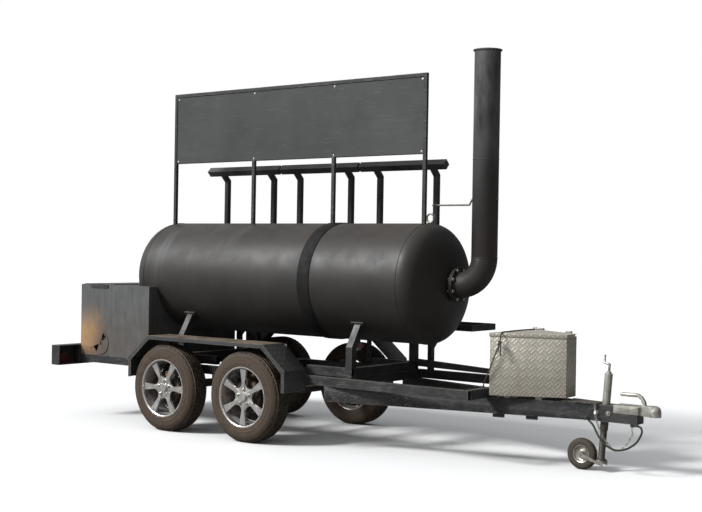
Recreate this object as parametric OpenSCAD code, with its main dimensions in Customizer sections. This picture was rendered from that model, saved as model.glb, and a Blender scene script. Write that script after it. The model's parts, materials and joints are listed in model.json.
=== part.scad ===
// Towable offset smoker: tank cooking chamber and firebox on a tandem axle trailer.
// X runs forward to the coupling, Y to the door side, Z up. Sizes are in millimetres.

/* [Tank] */
// Outside diameter of the cooking chamber
tank_d = 800; // [600:10:1000]
// Straight length of the cooking chamber between its two heads
tank_length = 2300; // [1900:10:2900]
// Plate thickness of the chamber and its heads
tank_wall = 5; // [3:0.5:8]
// Height of the chamber's centreline above the ground
tank_height = 1086; // [1000:2:1200]
// Width of the reinforcing band
band_width = 100; // [60:5:130]

/* [Doors] */
// Width of each cooking door
door_width = 536; // [440:2:560]
// Distance between door centres
door_pitch = 740; // [700:5:900]
// Height of the counterweight bars above the hinge pins
weight_rise = 536; // [400:2:560]
// Side of the square counterweight tube
weight_tube = 50; // [40:5:60]

/* [Sign] */
// Overall length of the sign frame
sign_length = 2325; // [1800:5:2600]
// Height of the sign frame
sign_height = 533; // [300:1:700]
// Height of the sign frame's lower edge above the ground
sign_base = 1940; // [1900:5:2100]
// Side of the square sign posts
post_side = 25; // [20:1:40]

/* [Chimney] */
// Outside diameter of the flue pipe
flue_d = 168; // [120:2:200]
// Height of the flue outlet above the ground
flue_top = 2595; // [2300:5:2900]
// Bend radius of the flue elbow
flue_bend = 178; // [150:2:240]

/* [Firebox] */
// Length of the firebox along the trailer
fire_length = 750; // [600:10:800]
// Height of the firebox
fire_height = 537; // [450:5:560]
// Plate thickness of the firebox
fire_wall = 5; // [4:0.5:8]
// Radius of the rotary draft disc
draft_r = 92; // [70:2:95]

/* [Chassis] */
// Width of the chassis over its two main rails
frame_width = 950; // [900:10:1000]
// Height of the chassis rail top above the ground
rail_top = 468; // [460:2:500]
// Height of a main rail
rail_h = 60; // [50:2:70]
// Length of the shelf outwards from the chassis rail
shelf_reach = 275; // [200:5:400]
// Length of the tool box
box_length = 415; // [300:5:440]
// Height of the tool box with its lid
box_height = 383; // [250:1:450]

/* [Running gear] */
// Outside diameter of a road tyre
tyre_d = 610; // [560:2:640]
// Section width of a road tyre
tyre_w = 165; // [145:5:175]
// Distance between the two axles
axle_gap = 756; // [700:2:800]
// Gap between a main rail and the inner side of a tyre
tyre_gap = 40; // [30:1:60]
// Diameter of the jockey wheel
jockey_d = 190; // [160:2:220]
// Forward lean of the jockey mast
jockey_lean = 4.4; // [0:0.2:6]

/* [Hidden] */
$fn = 96;

steel = [0.16, 0.16, 0.16]; bare = [0.42, 0.38, 0.34]; alloy = [0.75, 0.76, 0.77]; black = [0.07, 0.07, 0.07]; zinc = [0.7, 0.7, 0.66];

// tank
tr = tank_d/2; tz = tank_height; tc = 267; t0 = tc - tank_length/2; t1 = tc + tank_length/2;
crown = 0.8*tank_d; knuck = 0.154*tank_d;
crown_up = sqrt(pow(crown - knuck, 2) - pow(tr - knuck, 2)); head = crown - crown_up;
band_x = (tc + door_pitch/2) + 23;
// doors
hinge_a = 50; hinge_r = tr + 25; hy = hinge_r*sin(hinge_a); hz = tz + hinge_r*cos(hinge_a);
skin_gap = 0.6; door_t = 5; door_a0 = 54; door_a1 = 116; hole_a0 = 58; hole_a1 = 112;
arm = 35; arm_x = door_width/2 - 28; lug_t = 8; pin_r = 7; run = 0.05; barrel_r = 16;
wz = hz + weight_rise; wy = hy - 70.5; wh = weight_tube/2; bar_l = door_pitch - 14;
// sign
sy0 = -80; post_y = sy0 + post_side/2; sx0 = tc - 7 - sign_length/2; sx1 = sx0 + sign_length; span = sign_length - post_side;
posts = [sx0 + post_side/2, sx0 + post_side/2 + 0.348*span, sx0 + post_side/2 + 0.6696*span, sx1 - post_side/2];
sz1 = sign_base + sign_height; panel_t = 3; inset = 2.5;
// flue
fr = flue_d/2; fw = 5; head_x = t1 + head; flange_x = head_x + 22; flange_t = 12; flange_r = fr + 28;
vx = flange_x + flange_t + flue_bend; damper_z = 1641;
// chassis
fy = frame_width/2; rail_w = 40; rail_bot = rail_top - rail_h; beam_h = 100; beam_bot = rail_bot - beam_h;
rail_x0 = fire_x0(); rail_x1 = 2020;
function fire_x0() = tc - 1762;
fx0 = tc - 1762; fx1 = fx0 + fire_length; fire_y = fy - 5; fz0 = rail_top; fz1 = rail_top + fire_height;
bump_x0 = fx0 - 88; bump_y = 680; bump_z0 = rail_top - 80; bump_h = 150;
nose_x0 = 2600; nose_x1 = 2911; nose_y = 50; coup_x = 3000; coup_tip = coup_x + 38;
beam_a = atan2(fy - 52, nose_x0 - 920);
leg_y = 370; leg_x = [-487, 1053]; leg_w = 50; base_h = 60;
// shelf
shelf_y0 = fy - 40; shelf_y1 = fy + shelf_reach; shelf_z1 = 800; shelf_h = 45; shelf_x0 = fx1 + 10; shelf_x1 = 1485;
// wheels
tyre_r = tyre_d/2; wy0 = fy + tyre_gap; wy1 = wy0 + tyre_w; ax = axle_gap/2; rim_r = 207; spindle_r = 15;
fend_y0 = fy + 3.5; fend_y1 = wy1 + 20; fend_t = 3; fend_z = max(670, tyre_d + 60); fend_c = 30;
fend_x = axle_gap/2 + tyre_r + 52; fend_top = axle_gap/2 + 163.5;
fend = [[-fend_x, 365], [-fend_x, 505], [-fend_top, fend_z], [fend_top, fend_z], [fend_x, 508], [fend_x, 365]];
// tool box
bx0 = 2045; bx1 = bx0 + box_length; bw0 = 270; bw1 = 65; bz0 = rail_bot + 20; bz1 = bz0 + box_height; box_t = 3; lid_h = 24;
box_a = atan2(bw0 - bw1, box_length);
// jack
jp = [2690, 0, 360]; jt = 24; ji = 20; jack_foot = -290; wheel_x = 2543; jr = jockey_d/2; jw = 50;
jack_c = cos(jockey_lean); jack_s = sin(jockey_lean);
// overall
lo_x = bump_x0; hi_x = coup_tip; lo_y = -max(fend_y1, bump_y); hi_y = max(shelf_y1, fend_y1);
shift = [-(lo_x + hi_x)/2, -(lo_y + hi_y)/2, 0];

module put(c) color(c) translate(shift) children();
module bx(x0, x1, y0, y1, z0, z1) translate([x0, y0, z0]) cube([x1 - x0, y1 - y0, z1 - z0]);
module cx(x0, x1, y, z, r) translate([x0, y, z]) rotate([0, 90, 0]) cylinder(h = x1 - x0, r = r);
module cy(y0, y1, x, z, r) translate([x, y1, z]) rotate([90, 0, 0]) cylinder(h = y1 - y0, r = r);
module cz(z0, z1, x, y, r) translate([x, y, z0]) cylinder(h = z1 - z0, r = r);
module both() for (s = [1, -1]) scale_y(s) children();
module scale_y(s) if (s > 0) children(); else mirror([0, 1, 0]) children();
// polygon of (y, z) points pulled along x
module yz(x0, x1, pts) translate([x0, 0, 0]) rotate([90, 0, 90]) linear_extrude(x1 - x0) polygon(pts);
// polygon of (x, z) points pulled along y
module xz(y0, y1, pts) translate([0, y1, 0]) rotate([90, 0, 0]) linear_extrude(y1 - y0) polygon(pts);
function ta(r, a) = [r*sin(a), tz + r*cos(a)];
module wedge(x0, x1, a0, a1, big = 700) yz(x0, x1, [[0, tz], ta(big, a0), ta(big*1.05, (a0 + a1)/2), ta(big, a1)]);
module sector(x0, x1, r0, r1, a0, a1) intersection() {
  difference() { cx(x0, x1, 0, tz, r1); cx(x0 - 1, x1 + 1, 0, tz, r0); }
  wedge(x0 - 2, x1 + 2, a0, a1);
}
module tank_cut(extra = 0) cx(t0 - 400, t1 + 400, 0, tz, tr + extra);
module half_profile(t) {
  c = tank_length/2 - crown_up; k = tr - knuck; s = crown/(crown - knuck);
  intersection() {
    translate([0, -2000]) square([tr*2, 4000]);
    union() {
      translate([0, -tank_length/2]) square([tr - t, tank_length]);
      for (m = [0, 1]) mirror([0, m]) {
        translate([k, tank_length/2]) circle(r = knuck - t);
        intersection() {
          translate([0, c]) circle(r = crown - t);
          polygon([[0, c], [k*s*1.3, c + crown_up*s*1.3], [0, c + crown*1.5]]);
        }
      }
    }
  }
}
module tank_solid(t = 0) translate([tc, 0, tz]) rotate([0, 90, 0]) rotate_extrude() half_profile(t);
module sq_tube_x(x0, x1, y0, y1, z0, z1, t = 3) difference() {
  bx(x0, x1, y0, y1, z0, z1); bx(x0 - 1, x1 + 1, y0 + t, y1 - t, z0 + t, z1 - t);
}
module sq_tube_y(x0, x1, y0, y1, z0, z1, t = 3) difference() {
  bx(x0, x1, y0, y1, z0, z1); bx(x0 + t, x1 - t, y0 - 1, y1 + 1, z0 + t, z1 - t);
}
function door_c(i) = tc + (i - 1)*door_pitch;

// ---- chassis ----
module chassis_rails() put(steel) {
  both() sq_tube_x(rail_x0, rail_x1, fy - rail_w, fy, rail_bot, rail_top);
  for (x = [rail_x0, fx1 + 10, -20, 640, leg_x[1] - 20, rail_x1 - 40])
    sq_tube_y(x, x + 40, -(fy - rail_w), fy - rail_w, rail_bot, rail_top);
}
module beam() translate([920, -fy, beam_bot]) rotate([0, 0, beam_a]) difference() {
  translate([-60, 0, 0]) cube([1900, 50, beam_h]);
  translate([-61, 4, 4]) cube([1902, 42, beam_h - 8]);
}
module drawbar() put(steel) {
  both() intersection() { beam(); bx(920, nose_x0, -fy - 5, 0, beam_bot - 1, rail_bot + 1); }
  difference() {
    bx(nose_x0, nose_x1, -nose_y, nose_y, beam_bot, rail_bot);
    bx(nose_x0 + 6, nose_x1 - 6, -nose_y + 6, nose_y - 6, beam_bot + 6, rail_bot - 6);
    translate(jp) rotate([0, jockey_lean, 0]) cylinder(h = 300, r = jt, center = true);
    for (x = [2655, 2732]) cy(-nose_y - 1, nose_y + 1, x, beam_bot + 52, 6);
  }
  both() translate([920, -fy, beam_bot]) rotate([0, 0, beam_a]) for (u = [1140, 1350]) translate([u, 14, -24]) cube([70, 22, 24]);
  xz(-68, -nose_y, [[nose_x0 - 14, beam_bot], [nose_x0 - 8, beam_bot], [nose_x0 - 6.08, beam_bot + 3.37], [nose_x0 + 5.92, beam_bot + 16.77], [nose_x0 - 2, beam_bot + 24], [nose_x0 - 14, beam_bot + 24]]);
  xz(-50, -30, [[nose_x1 - 15, beam_bot - 14], [nose_x1 - 0.95, beam_bot - 14], [nose_x1 + 5.75, beam_bot], [nose_x1 - 15, beam_bot]]);
  bx(nose_x1 - 45, nose_x1 - 27, -38, -22, beam_bot - 18, beam_bot);
  bx(2642, 2662, -72, -nose_y, rail_bot - 4, rail_bot + 6);
  difference() {
    linear_extrude_at(rail_bot, 6) polygon([[2440, -92], [nose_x0 + 60, -nose_y], [nose_x0 + 60, nose_y], [2440, 92]]);
    translate(jp) rotate([0, jockey_lean, 0]) cylinder(h = 300, r = jt, center = true);
  }
}
module linear_extrude_at(z, h) translate([0, 0, z]) linear_extrude(h) children();
module rear_bumper() put(steel) difference() {
  bx(bump_x0, fx0, -bump_y, bump_y, bump_z0, bump_z0 + bump_h);
  bx(bump_x0 + 6, fx0 + 1, -bump_y + 6, -fy - 6, bump_z0 + 6, bump_z0 + bump_h - 6);
  bx(bump_x0 + 6, fx0 + 1, fy + 6, bump_y - 6, bump_z0 + 6, bump_z0 + bump_h - 6);
  bx(bump_x0 + 6, fx0 + 1, -fy, fy, bump_z0 + 6, bump_z0 + bump_h - 6);
  for (s = [-1, 1]) cx(bump_x0 - 1, bump_x0 + 46, s*600, bump_z0 + 40, 46);
}
module tail_lamps() put([0.6, 0.05, 0.04]) for (s = [-1, 1]) {
  cx(bump_x0, bump_x0 + 46, s*600, bump_z0 + 40, 46);
}
module axle_beams() put(steel) for (x = [-ax, ax]) {
  difference() { cy(-(wy0 + 20), wy0 + 20, x, tyre_r, 25); cy(-fy + 200, fy - 200, x, tyre_r, 20); }
  for (s = [0, 1]) mirror([0, s]) cy(wy0 + 20, wy0 + 108, x, tyre_r, spindle_r);
}
spring_y = fy - 27; spring_w = 50; bolt_y = spring_w/2 + 5.02; eye_z = rail_bot - 28; eye_dx = 318; pad_z = tyre_r + 25;
sag = eye_z - (pad_z + 20);
arc_r = (eye_dx*eye_dx + sag*sag)/(2*max(sag, 5));
module leaf(x, y, k) intersection() {
  translate([x, y + spring_w/2, pad_z + arc_r + (3 - k)*7]) rotate([90, 0, 0]) difference() {
    cylinder(h = spring_w, r = arc_r, $fn = 200); translate([0, 0, -1]) cylinder(h = spring_w + 2, r = arc_r - 7, $fn = 200);
  }
  bx(x - eye_dx + k*62, x + eye_dx - k*62, y - spring_w, y + spring_w, tyre_r, rail_bot + 60);
}
module leaf_springs() put(steel) for (x = [-ax, ax], s = [-1, 1]) {
  for (k = [0:3]) leaf(x, s*spring_y, k);
}
pin_dx = eye_dx - 12; pin_z = pad_z + arc_r + 21 - sqrt(pow(arc_r - 15.02, 2) - pin_dx*pin_dx);
module spring_hangers() put(steel) both() {
  for (m = [-1, 1]) {
    x = m*(ax + eye_dx + 2);
    for (d = [-30, 26]) bx(x - 28, x + 28, spring_y + d, spring_y + d + 4, eye_z - 30, rail_bot);
    bx(x - 28, x + 28, spring_y - 30, spring_y + 30, rail_bot - 4, rail_bot);
    cy(spring_y - 34, spring_y + 34, m*(ax + pin_dx), pin_z, 8);
    cy(spring_y - 34, spring_y + 34, m*(ax - pin_dx), pin_z, 8);
  }
  w = ax - pin_dx + 14;
  for (d = [-30, 26]) xz(spring_y + d, spring_y + d + 4, [[-w, rail_bot], [w, rail_bot], [w, eye_z - 14], [w - 34, eye_z - 40], [34 - w, eye_z - 40], [-w, eye_z - 14]]);
  bx(-w, w, spring_y - 30, spring_y + 30, rail_bot - 4, rail_bot);
  for (x = [-ax, ax]) difference() {
    bx(x - 45, x + 45, spring_y - 36, spring_y + 36, tyre_r - 37, tyre_r - 25);
    for (d = [-32, 32], e = [-bolt_y, bolt_y]) cz(tyre_r - 40, tyre_r - 20, x + d, spring_y + e, 5);
  }
}
module u_bolts() put(zinc) for (s = [-1, 1], x = [-ax, ax], d = [-32, 32]) {
  for (e = [-bolt_y, bolt_y]) cz(tyre_r - 50, pad_z + 33.9, x + d, s*spring_y + e, 5);
  cy(s*spring_y - bolt_y, s*spring_y + bolt_y, x + d, pad_z + 33.9, 5);
}
module fender_shape(y0, y1, t) xz(y0, y1, concat([for (p = fend) [p[0] + fend_c, p[1]]],
  [for (i = [5:-1:0]) let (p = fend[i], dx = (i < 3 ? t : -t)*(i == 2 || i == 3 ? 0.5 : 1), dz = (i == 2 || i == 3 ? -t : (i == 1 || i == 4 ? -t*0.6 : 0))) [p[0] + fend_c + dx, p[1] + dz]]));
module fenders() put([0.2, 0.19, 0.18]) both() {
  fender_shape(fend_y0, fend_y1, fend_t);
  fender_shape(fend_y1 - 3, fend_y1, 26);
  for (x = [fend_c - fend_top - 8.5, fend_c + fend_top - 11.5]) bx(x, x + 40, fy, fend_y0 + 4, rail_bot + 5, fend_z - 6);
}
module tank_cradle() put(steel) {
  both() for (x = leg_x) {
    d = x > 0 ? -1 : 1;
    sq_tube_x(min(x - leg_w/2, x - leg_w/2 + (d < 0 ? -330 : 0)), max(x + leg_w/2, x + leg_w/2 + (d > 0 ? 330 : 0)), -leg_y - 20, -leg_y + 20, rail_top, rail_top + base_h);
    difference() {
      yz(x - leg_w/2, x + leg_w/2, [[-leg_y - 20, rail_top + base_h], [-leg_y + 30, rail_top + base_h], [-leg_y + 30, 648], [-leg_y + 140, 829], [-leg_y + 90, 846], [-leg_y - 20, 665]]);
      tank_cut(8);
    }
    sector(x - 52, x + 52, tr, tr + 8, 180 + 44, 180 + 50);
  }
  for (x = leg_x) sq_tube_y(x - 25, x + 25, -leg_y + 20, leg_y - 20, rail_top, rail_top + base_h);
  brace_x = leg_x[1] + leg_w/2;
  xz(leg_y - 10, leg_y + 20, [[brace_x, rail_top + 79], [rail_x1 - 4, rail_top + 33], [rail_x1 - 4, rail_top], [rail_x1 - 24, rail_top], [rail_x1 - 24, rail_top + 9], [brace_x, rail_top + 29]]);
}
// ---- cooking chamber ----
module tank_shell() put(black) difference() {
  tank_solid(0);
  tank_solid(tank_wall);
  for (i = [0:2]) wedge(door_c(i) - door_width/2 + 22, door_c(i) + door_width/2 - 22, hole_a0, hole_a1);
  bx(t0 - 400, t0 + 60, -250, 250, fz0 + 20, fz1 - 40);
  cx(t1, t1 + 400, 0, tz, fr - fw);
  cz(tz - tr - 20, tz, drain_x, 0, 14);
}
module tank_band() put(black) difference() {
  cx(band_x - band_width/2, band_x + band_width/2, 0, tz, tr + 6); cx(band_x - 200, band_x + 200, 0, tz, tr);
}
grate_z = tz - 156; ri = tr - tank_wall; grate_y = sqrt(ri*ri - 156*156) - 12;
module cooking_grates() put([0.3, 0.28, 0.26]) {
  for (i = [0:2]) {
    a = max(door_c(i) - door_pitch/2 + 12, t0 + 8); b = min(door_c(i) + door_pitch/2 - 12, t1 - 8);
    for (y = [-grate_y, grate_y - 6]) bx(a, b, y, y + 6, grate_z, grate_z + 20);
    for (x = [a, (a + b)/2 - 3, b - 6]) bx(x, x + 6, -grate_y, grate_y, grate_z, grate_z + 20);
    for (y = [-grate_y + 32:26:grate_y - 20]) cx(a + 1, b - 1, y, grate_z + 14, 4);
  }
  intersection() {
    both() { bx(t0 + 20, t1 - 20, grate_y - 18, tr, grate_z - 4, grate_z); bx(t0 + 20, t1 - 20, grate_y - 18, grate_y - 14, grate_z - 34, grate_z - 4); }
    cx(t0, t1, 0, tz, ri);
  }
}
module baffle_plate() put([0.2, 0.17, 0.15]) difference() {
  intersection() { bx(t0 + 60, t1 - 260, -tr, tr, tz - 280, tz - 276); cx(t0, t1, 0, tz, ri); }
  for (x = [t0 + 500:200:t1 - 400], y = [-150, 0, 150]) cz(tz - 290, tz - 270, x, y, 22);
}
module lug(x) translate([x, 0, 0]) rotate([90, 0, 90]) linear_extrude(lug_t) difference() {
  union() { translate([hy, hz]) circle(r = barrel_r); polygon([[hy - 15, hz - 2], [hy + 15, hz + 2], ta(tr - 8, hinge_a + 3), ta(tr - 8, hinge_a - 6)]); }
  translate([0, tz]) circle(r = tr);
}
module door_hinges() put(steel) for (i = [0:2], s = [-1, 1]) {
  c = door_c(i) + s*arm_x;
  lug(c - 20.5 - lug_t); lug(c + 20.5);
  cx(c - 33, c + 33, hy, hz, pin_r);
  for (e = [-36, 33]) cx(c + e, c + e + 3, hy, hz, 11);
}
module door(i) put(black) {
  c = door_c(i); w = door_width/2;
  sector(c - w, c + w, tr + skin_gap, tr + skin_gap + door_t, door_a0, door_a1);
  for (s = [-1, 1]) difference() {
    union() {
      sector(c + s*arm_x - arm/2, c + s*arm_x + arm/2, tr + skin_gap + door_t, tr + 18, hinge_a, 84);
      cx(c + s*arm_x - 20, c + s*arm_x + 20, hy, hz, barrel_r);
    }
    cx(c + s*arm_x - 21, c + s*arm_x + 21, hy, hz, pin_r + run);
  }
  for (x = [c - 130, c + 130]) translate([x, 0, tz]) rotate([-(door_a1 - 9), 0, 0]) cylinder_at(tr + 4, 52, 7);
  p = ta(tr + 56, door_a1 - 9); cx(c - 150, c + 150, p[0], p[1], 9);
}
module cylinder_at(r0, h, r) translate([0, 0, r0]) cylinder(h = h, r = r);
module door_rear() door(0);
module door_middle() door(1);
module door_front() door(2);
q = 0.70711; arm_up = wz - wh*q - (hy - wy - wh*q);
module weight(i) put(black) {
  c = door_c(i);
  difference() {
    translate([c - bar_l/2, wy, wz]) rotate([45, 0, 0]) translate([0, -wh, -wh]) cube([bar_l, 2*wh, 2*wh]);
    translate([c - bar_l/2 + 5, wy, wz]) rotate([45, 0, 0]) translate([0, -wh + 6, -wh + 6]) cube([bar_l - 10, 2*wh - 12, 2*wh - 12]);
    cx(c - bar_l/2 - 1, c - bar_l/2 + 10, wy, wz, 6);
  }
  for (s = [-1, 1]) difference() {
    intersection() { arm_shape(c + s*arm_x, arm/2, arm/2, 0); below_bar(c + s*arm_x, 0); }
    arm_shape(c + s*arm_x, arm/2 - 3, arm/2 - 3, 20);
    cx(c + s*arm_x - 30, c + s*arm_x + 30, hy, hz, barrel_r);
  }
}
// upright arm with its 45 degree bend towards the near side
module arm_shape(x, hx, h, ext) yz(x - hx, x + hx, [[hy + h, hz + 8 - ext], [hy - h, hz + 8 - ext], [hy - h, arm_up - h*0.4142],
  [wy - h*q, wz - h*q], [wy + h*q, wz + h*q], [hy + h, arm_up + h*0.4142]]);
module below_bar(x, e) translate([x - 60, wy, wz]) rotate([45, 0, 0]) translate([0, -700, -900]) cube([120, 1400, 900 - wh]);
module weight_rear() weight(0);
module weight_middle() weight(1);
module weight_front() weight(2);
// ---- sign ----
module sign_frame() put(steel) {
  difference() {
    for (p = posts) bx(p - post_side/2, p + post_side/2, sy0, sy0 + post_side, tz + tr - 60, sz1 - post_side);
    tank_solid(0);
    cx(band_x - band_width/2, band_x + band_width/2, 0, tz, tr + 6);
    for (p = [posts[1], posts[2]]) bx(p - post_side, p + post_side, sy0 - 1, sy0 + 8, sign_base + 4, sz1);
  }
  bx(sx0, sx1, sy0, sy0 + post_side, sz1 - post_side, sz1);
  for (k = [0:2]) bx(posts[k] + post_side/2, posts[k + 1] - post_side/2, sy0 + 8, sy0 + post_side, sign_base, sign_base + post_side);
  for (p = [posts[1], posts[2]]) bx(p - post_side/2, p + post_side/2, sy0 + 8, sy0 + post_side, sz1 - 2*post_side, sz1 - post_side);
  for (k = [0:2]) bx(posts[k] + post_side/2, posts[k + 1] - post_side/2, sy0 + 8, sy0 + post_side, sz1 - 2*post_side, sz1 - post_side);
}
screw_x = [posts[0] + post_side, posts[1], posts[2], posts[3] - post_side];
module sign_panel() put([0.28, 0.29, 0.29]) difference() {
  bx(sx0 + post_side + inset, sx1 - post_side - inset, sy0 + 5, sy0 + 8, sign_base + 4, sz1 - post_side - inset);
  for (x = screw_x, z = [sign_base + 16, sz1 - post_side - 16]) {
    cy(sy0 - 10, sy0 + 20, x, z, 3.5);
    translate([x, sy0 + 8, z]) rotate([90, 0, 0]) cylinder(h = 4, r1 = 4, r2 = 10);
  }
}
module sign_screws() put(zinc) for (x = screw_x, z = [sign_base + 16, sz1 - post_side - 16]) {
  translate([x, sy0 + 8, z]) rotate([90, 0, 0]) cylinder(h = 2.9, r1 = 3.8, r2 = 8.15);
}
// ---- flue ----
module flue_pipe() put(black) {
  difference() {
    cx(flange_x, flange_x + flange_t, 0, tz, flange_r);
    cx(flange_x - 1, flange_x + flange_t + 1, 0, tz, fr - fw);
    for (k = [0:7]) translate([0, 0, tz]) rotate([k*45 + 22.5, 0, 0]) cx(flange_x - 1, flange_x + flange_t + 1, 0, flange_r - 13, 6);
  }
  translate([flange_x + flange_t, 0, tz + flue_bend]) rotate([90, 0, 0]) rotate([0, 0, -90]) rotate_extrude(angle = 90) translate([flue_bend, 0]) difference() { circle(r = fr); circle(r = fr - fw); }
}
module flue_flange() put(black) {
  difference() {
    union() {
      cx(t1 + 60, flange_x, 0, tz, fr);
      cx(flange_x - flange_t, flange_x, 0, tz, flange_r);
      cz(tz + flue_bend, flue_top, vx, 0, fr);
      cz(flue_top - 6, flue_top, vx, 0, fr + 9);
    }
    cx(t1, flange_x + 1, 0, tz, fr - fw);
    tank_solid(0);
    cz(tz + flue_bend - 1, flue_top + 1, vx, 0, fr - fw);
    for (k = [0:7]) translate([0, 0, tz]) rotate([k*45 + 22.5, 0, 0]) cx(flange_x - 20, flange_x + 1, 0, flange_r - 13, 6);
    cx(vx - 200, vx + 200, 0, damper_z, 6.05);
  }
}
module flange_bolts() put(zinc) for (k = [0:7]) translate([0, 0, tz]) rotate([k*45 + 22.5, 0, 0]) {
  translate([flange_x - flange_t - 8, 0, flange_r - 13]) rotate([0, 90, 0]) cylinder(h = 8, r = 11, $fn = 6);
  cx(flange_x - flange_t, flange_x + flange_t, 0, flange_r - 13, 5.8);
  translate([flange_x + flange_t, 0, flange_r - 13]) rotate([0, 90, 0]) cylinder(h = 9, r = 11, $fn = 6);
}
module lifting_eye() put(zinc) difference() {
  translate([t1 - 1, 0, tz + tr + 34]) rotate([90, 0, 0]) rotate_extrude() translate([29, 0]) circle(r = 7);
  tank_solid(0);
}
hx0 = vx - fr - 316; hdrop = 36; hnd = vx - fr - 14;
module flue_damper() put([0.4, 0.38, 0.35]) {
  cx(hnd, vx + fr + 12, 0, damper_z, 6);
  bx(vx - 70, vx + 70, -2, 2, damper_z - 36, damper_z + 36);
  intersection() { cy(-2, 2, vx, damper_z, fr - fw - 3); bx(vx - 78, vx + 78, -3, 3, damper_z - 78, damper_z + 78); }
  translate([hnd, 0, damper_z]) sphere(r = 6);
  translate([hnd, 0, damper_z]) rotate([0, -(180 - atan2(20, hdrop)), 0]) cylinder(h = sqrt(400 + hdrop*hdrop), r = 6);
  translate([hnd - 20, 0, damper_z - hdrop]) sphere(r = 6);
  cx(hx0, hnd - 20, 0, damper_z - hdrop, 6);
  translate([hx0, 0, damper_z - hdrop]) sphere(r = 6);
}
// ---- firebox ----
hatch_x0 = fx0 + 35; hatch_x1 = t0 - head - 40; ash_h = 70; ash_w = 300;
module firebox() put(bare) {
  difference() {
    bx(fx0, fx1, -fire_y, fire_y, fz0, fz1);
    bx(fx0 + fire_wall, fx1 - fire_wall, -fire_y + fire_wall, fire_y - fire_wall, fz0 + fire_wall, fz1 - fire_wall);
    tank_solid(0);
    bx(hatch_x0 + 15, hatch_x1 - 15, -fire_y + 30, fire_y - 60, fz1 - 20, fz1 + 10);
    bx(fx0 + 200, fx0 + 200 + ash_w, fire_y - 20, fire_y + 5, fz0 + fire_wall, fz0 + 8 + ash_h);
    for (a = [45, 225]) translate([draft_x, -fire_y, draft_z]) rotate([90, 0, 0]) rotate([0, 0, a]) linear_extrude(40, center = true) polygon([[14, 0], [draft_r - 14, -30], [draft_r - 14, 30]]);
  }
  cy(-fire_y - 9, -fire_y + 1, draft_x, draft_z, 6);
  cy(-fire_y - 13, -fire_y - 6.5, draft_x, draft_z, 13);
  difference() {
    for (y = [-fire_y + fire_wall, fire_y - fire_wall - 40]) bx(fx0 + fire_wall, fx1 - fire_wall, y, y + 40, fz0 + 128, fz0 + 132);
    tank_solid(0);
  }
  for (x = [hatch_x0 + 50, hatch_x1 - 90]) {
    cx(x - 12, x + 52, lid_y, lid_z + 3, 5);
    for (e = [-12, 41]) bx(x + e, x + e + 11, lid_y - 8, lid_y + 8, fz1, lid_z + 12);
  }
}
draft_x = fx0 + 225; draft_z = fz0 + draft_r + 5;
module draft_disc() put(bare) difference() {
  union() {
    cy(-fire_y - 5.5, -fire_y - 0.5, draft_x, draft_z, draft_r);
    translate([draft_x, -fire_y - 0.5, draft_z]) rotate([90, 0, 0]) rotate([0, 0, 197]) translate([draft_r - 6, -12, 0]) cube([36, 24, 5]);
  }
  for (a = [45, 225]) translate([draft_x, -fire_y, draft_z]) rotate([90, 0, 0]) rotate([0, 0, a]) linear_extrude(40, center = true) polygon([[14, 0], [draft_r - 14, -30], [draft_r - 14, 30]]);
  cy(-fire_y - 20, -fire_y + 20, draft_x, draft_z, 6.05);
}
module fire_grate() put([0.3, 0.24, 0.2]) {
  for (x = [fx0 + 12:30:fx1 - 60]) bx(x, x + 10, -fire_y + 10, fire_y - 10, fz0 + 132, fz0 + 147);
  for (y = [-fire_y + 20, fire_y - 30]) bx(fx0 + 12, fx1 - 50, y, y + 10, fz0 + 132, fz0 + 140);
}
lid_y = fire_y - 40; lid_z = fz1 + 8;
module firebox_lid() put(bare) {
  bx(hatch_x0, hatch_x1, -fire_y - 2, lid_y - 12, fz1 + 0.5, fz1 + 5.5);
  bx((hatch_x0 + hatch_x1)/2 - 85, (hatch_x0 + hatch_x1)/2 + 105, -fire_y - 7, -fire_y - 2, fz1 - 24, fz1 + 5.5);
  for (x = [hatch_x0 + 50, hatch_x1 - 90]) difference() {
    union() { cx(x, x + 40, lid_y, lid_z + 3, 9); bx(x, x + 40, lid_y - 60, lid_y - 4, fz1 + 5.5, fz1 + 10.5); }
    cx(x - 1, x + 41, lid_y, lid_z + 3, 5.05);
  }
}
module ash_drawer() put(bare) {
  difference() {
    bx(fx0 + 203, fx0 + 197 + ash_w, -fire_y + 120, fire_y - 6, fz0 + fire_wall + 0.5, fz0 + 60);
    bx(fx0 + 206, fx0 + 194 + ash_w, -fire_y + 123, fire_y - 9, fz0 + fire_wall + 3.5, fz0 + 90);
  }
  bx(fx0 + 190, fx0 + 210 + ash_w, fire_y + 0.5, fire_y + 4.5, fz0 + 3, fz0 + 16 + ash_h);
  bx(fx0 + 205, fx0 + 195 + ash_w, fire_y - 6.5, fire_y + 1, fz0 + 12, fz0 + 58);
  for (x = [-50, 50]) cy(fire_y + 4, fire_y + 34, fx0 + 200 + ash_w/2 + x, fz0 + 45, 6);
  cx(fx0 + 150 + ash_w/2 - 6, fx0 + 250 + ash_w/2 + 6, fire_y + 34, fz0 + 45, 6);
}
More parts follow.
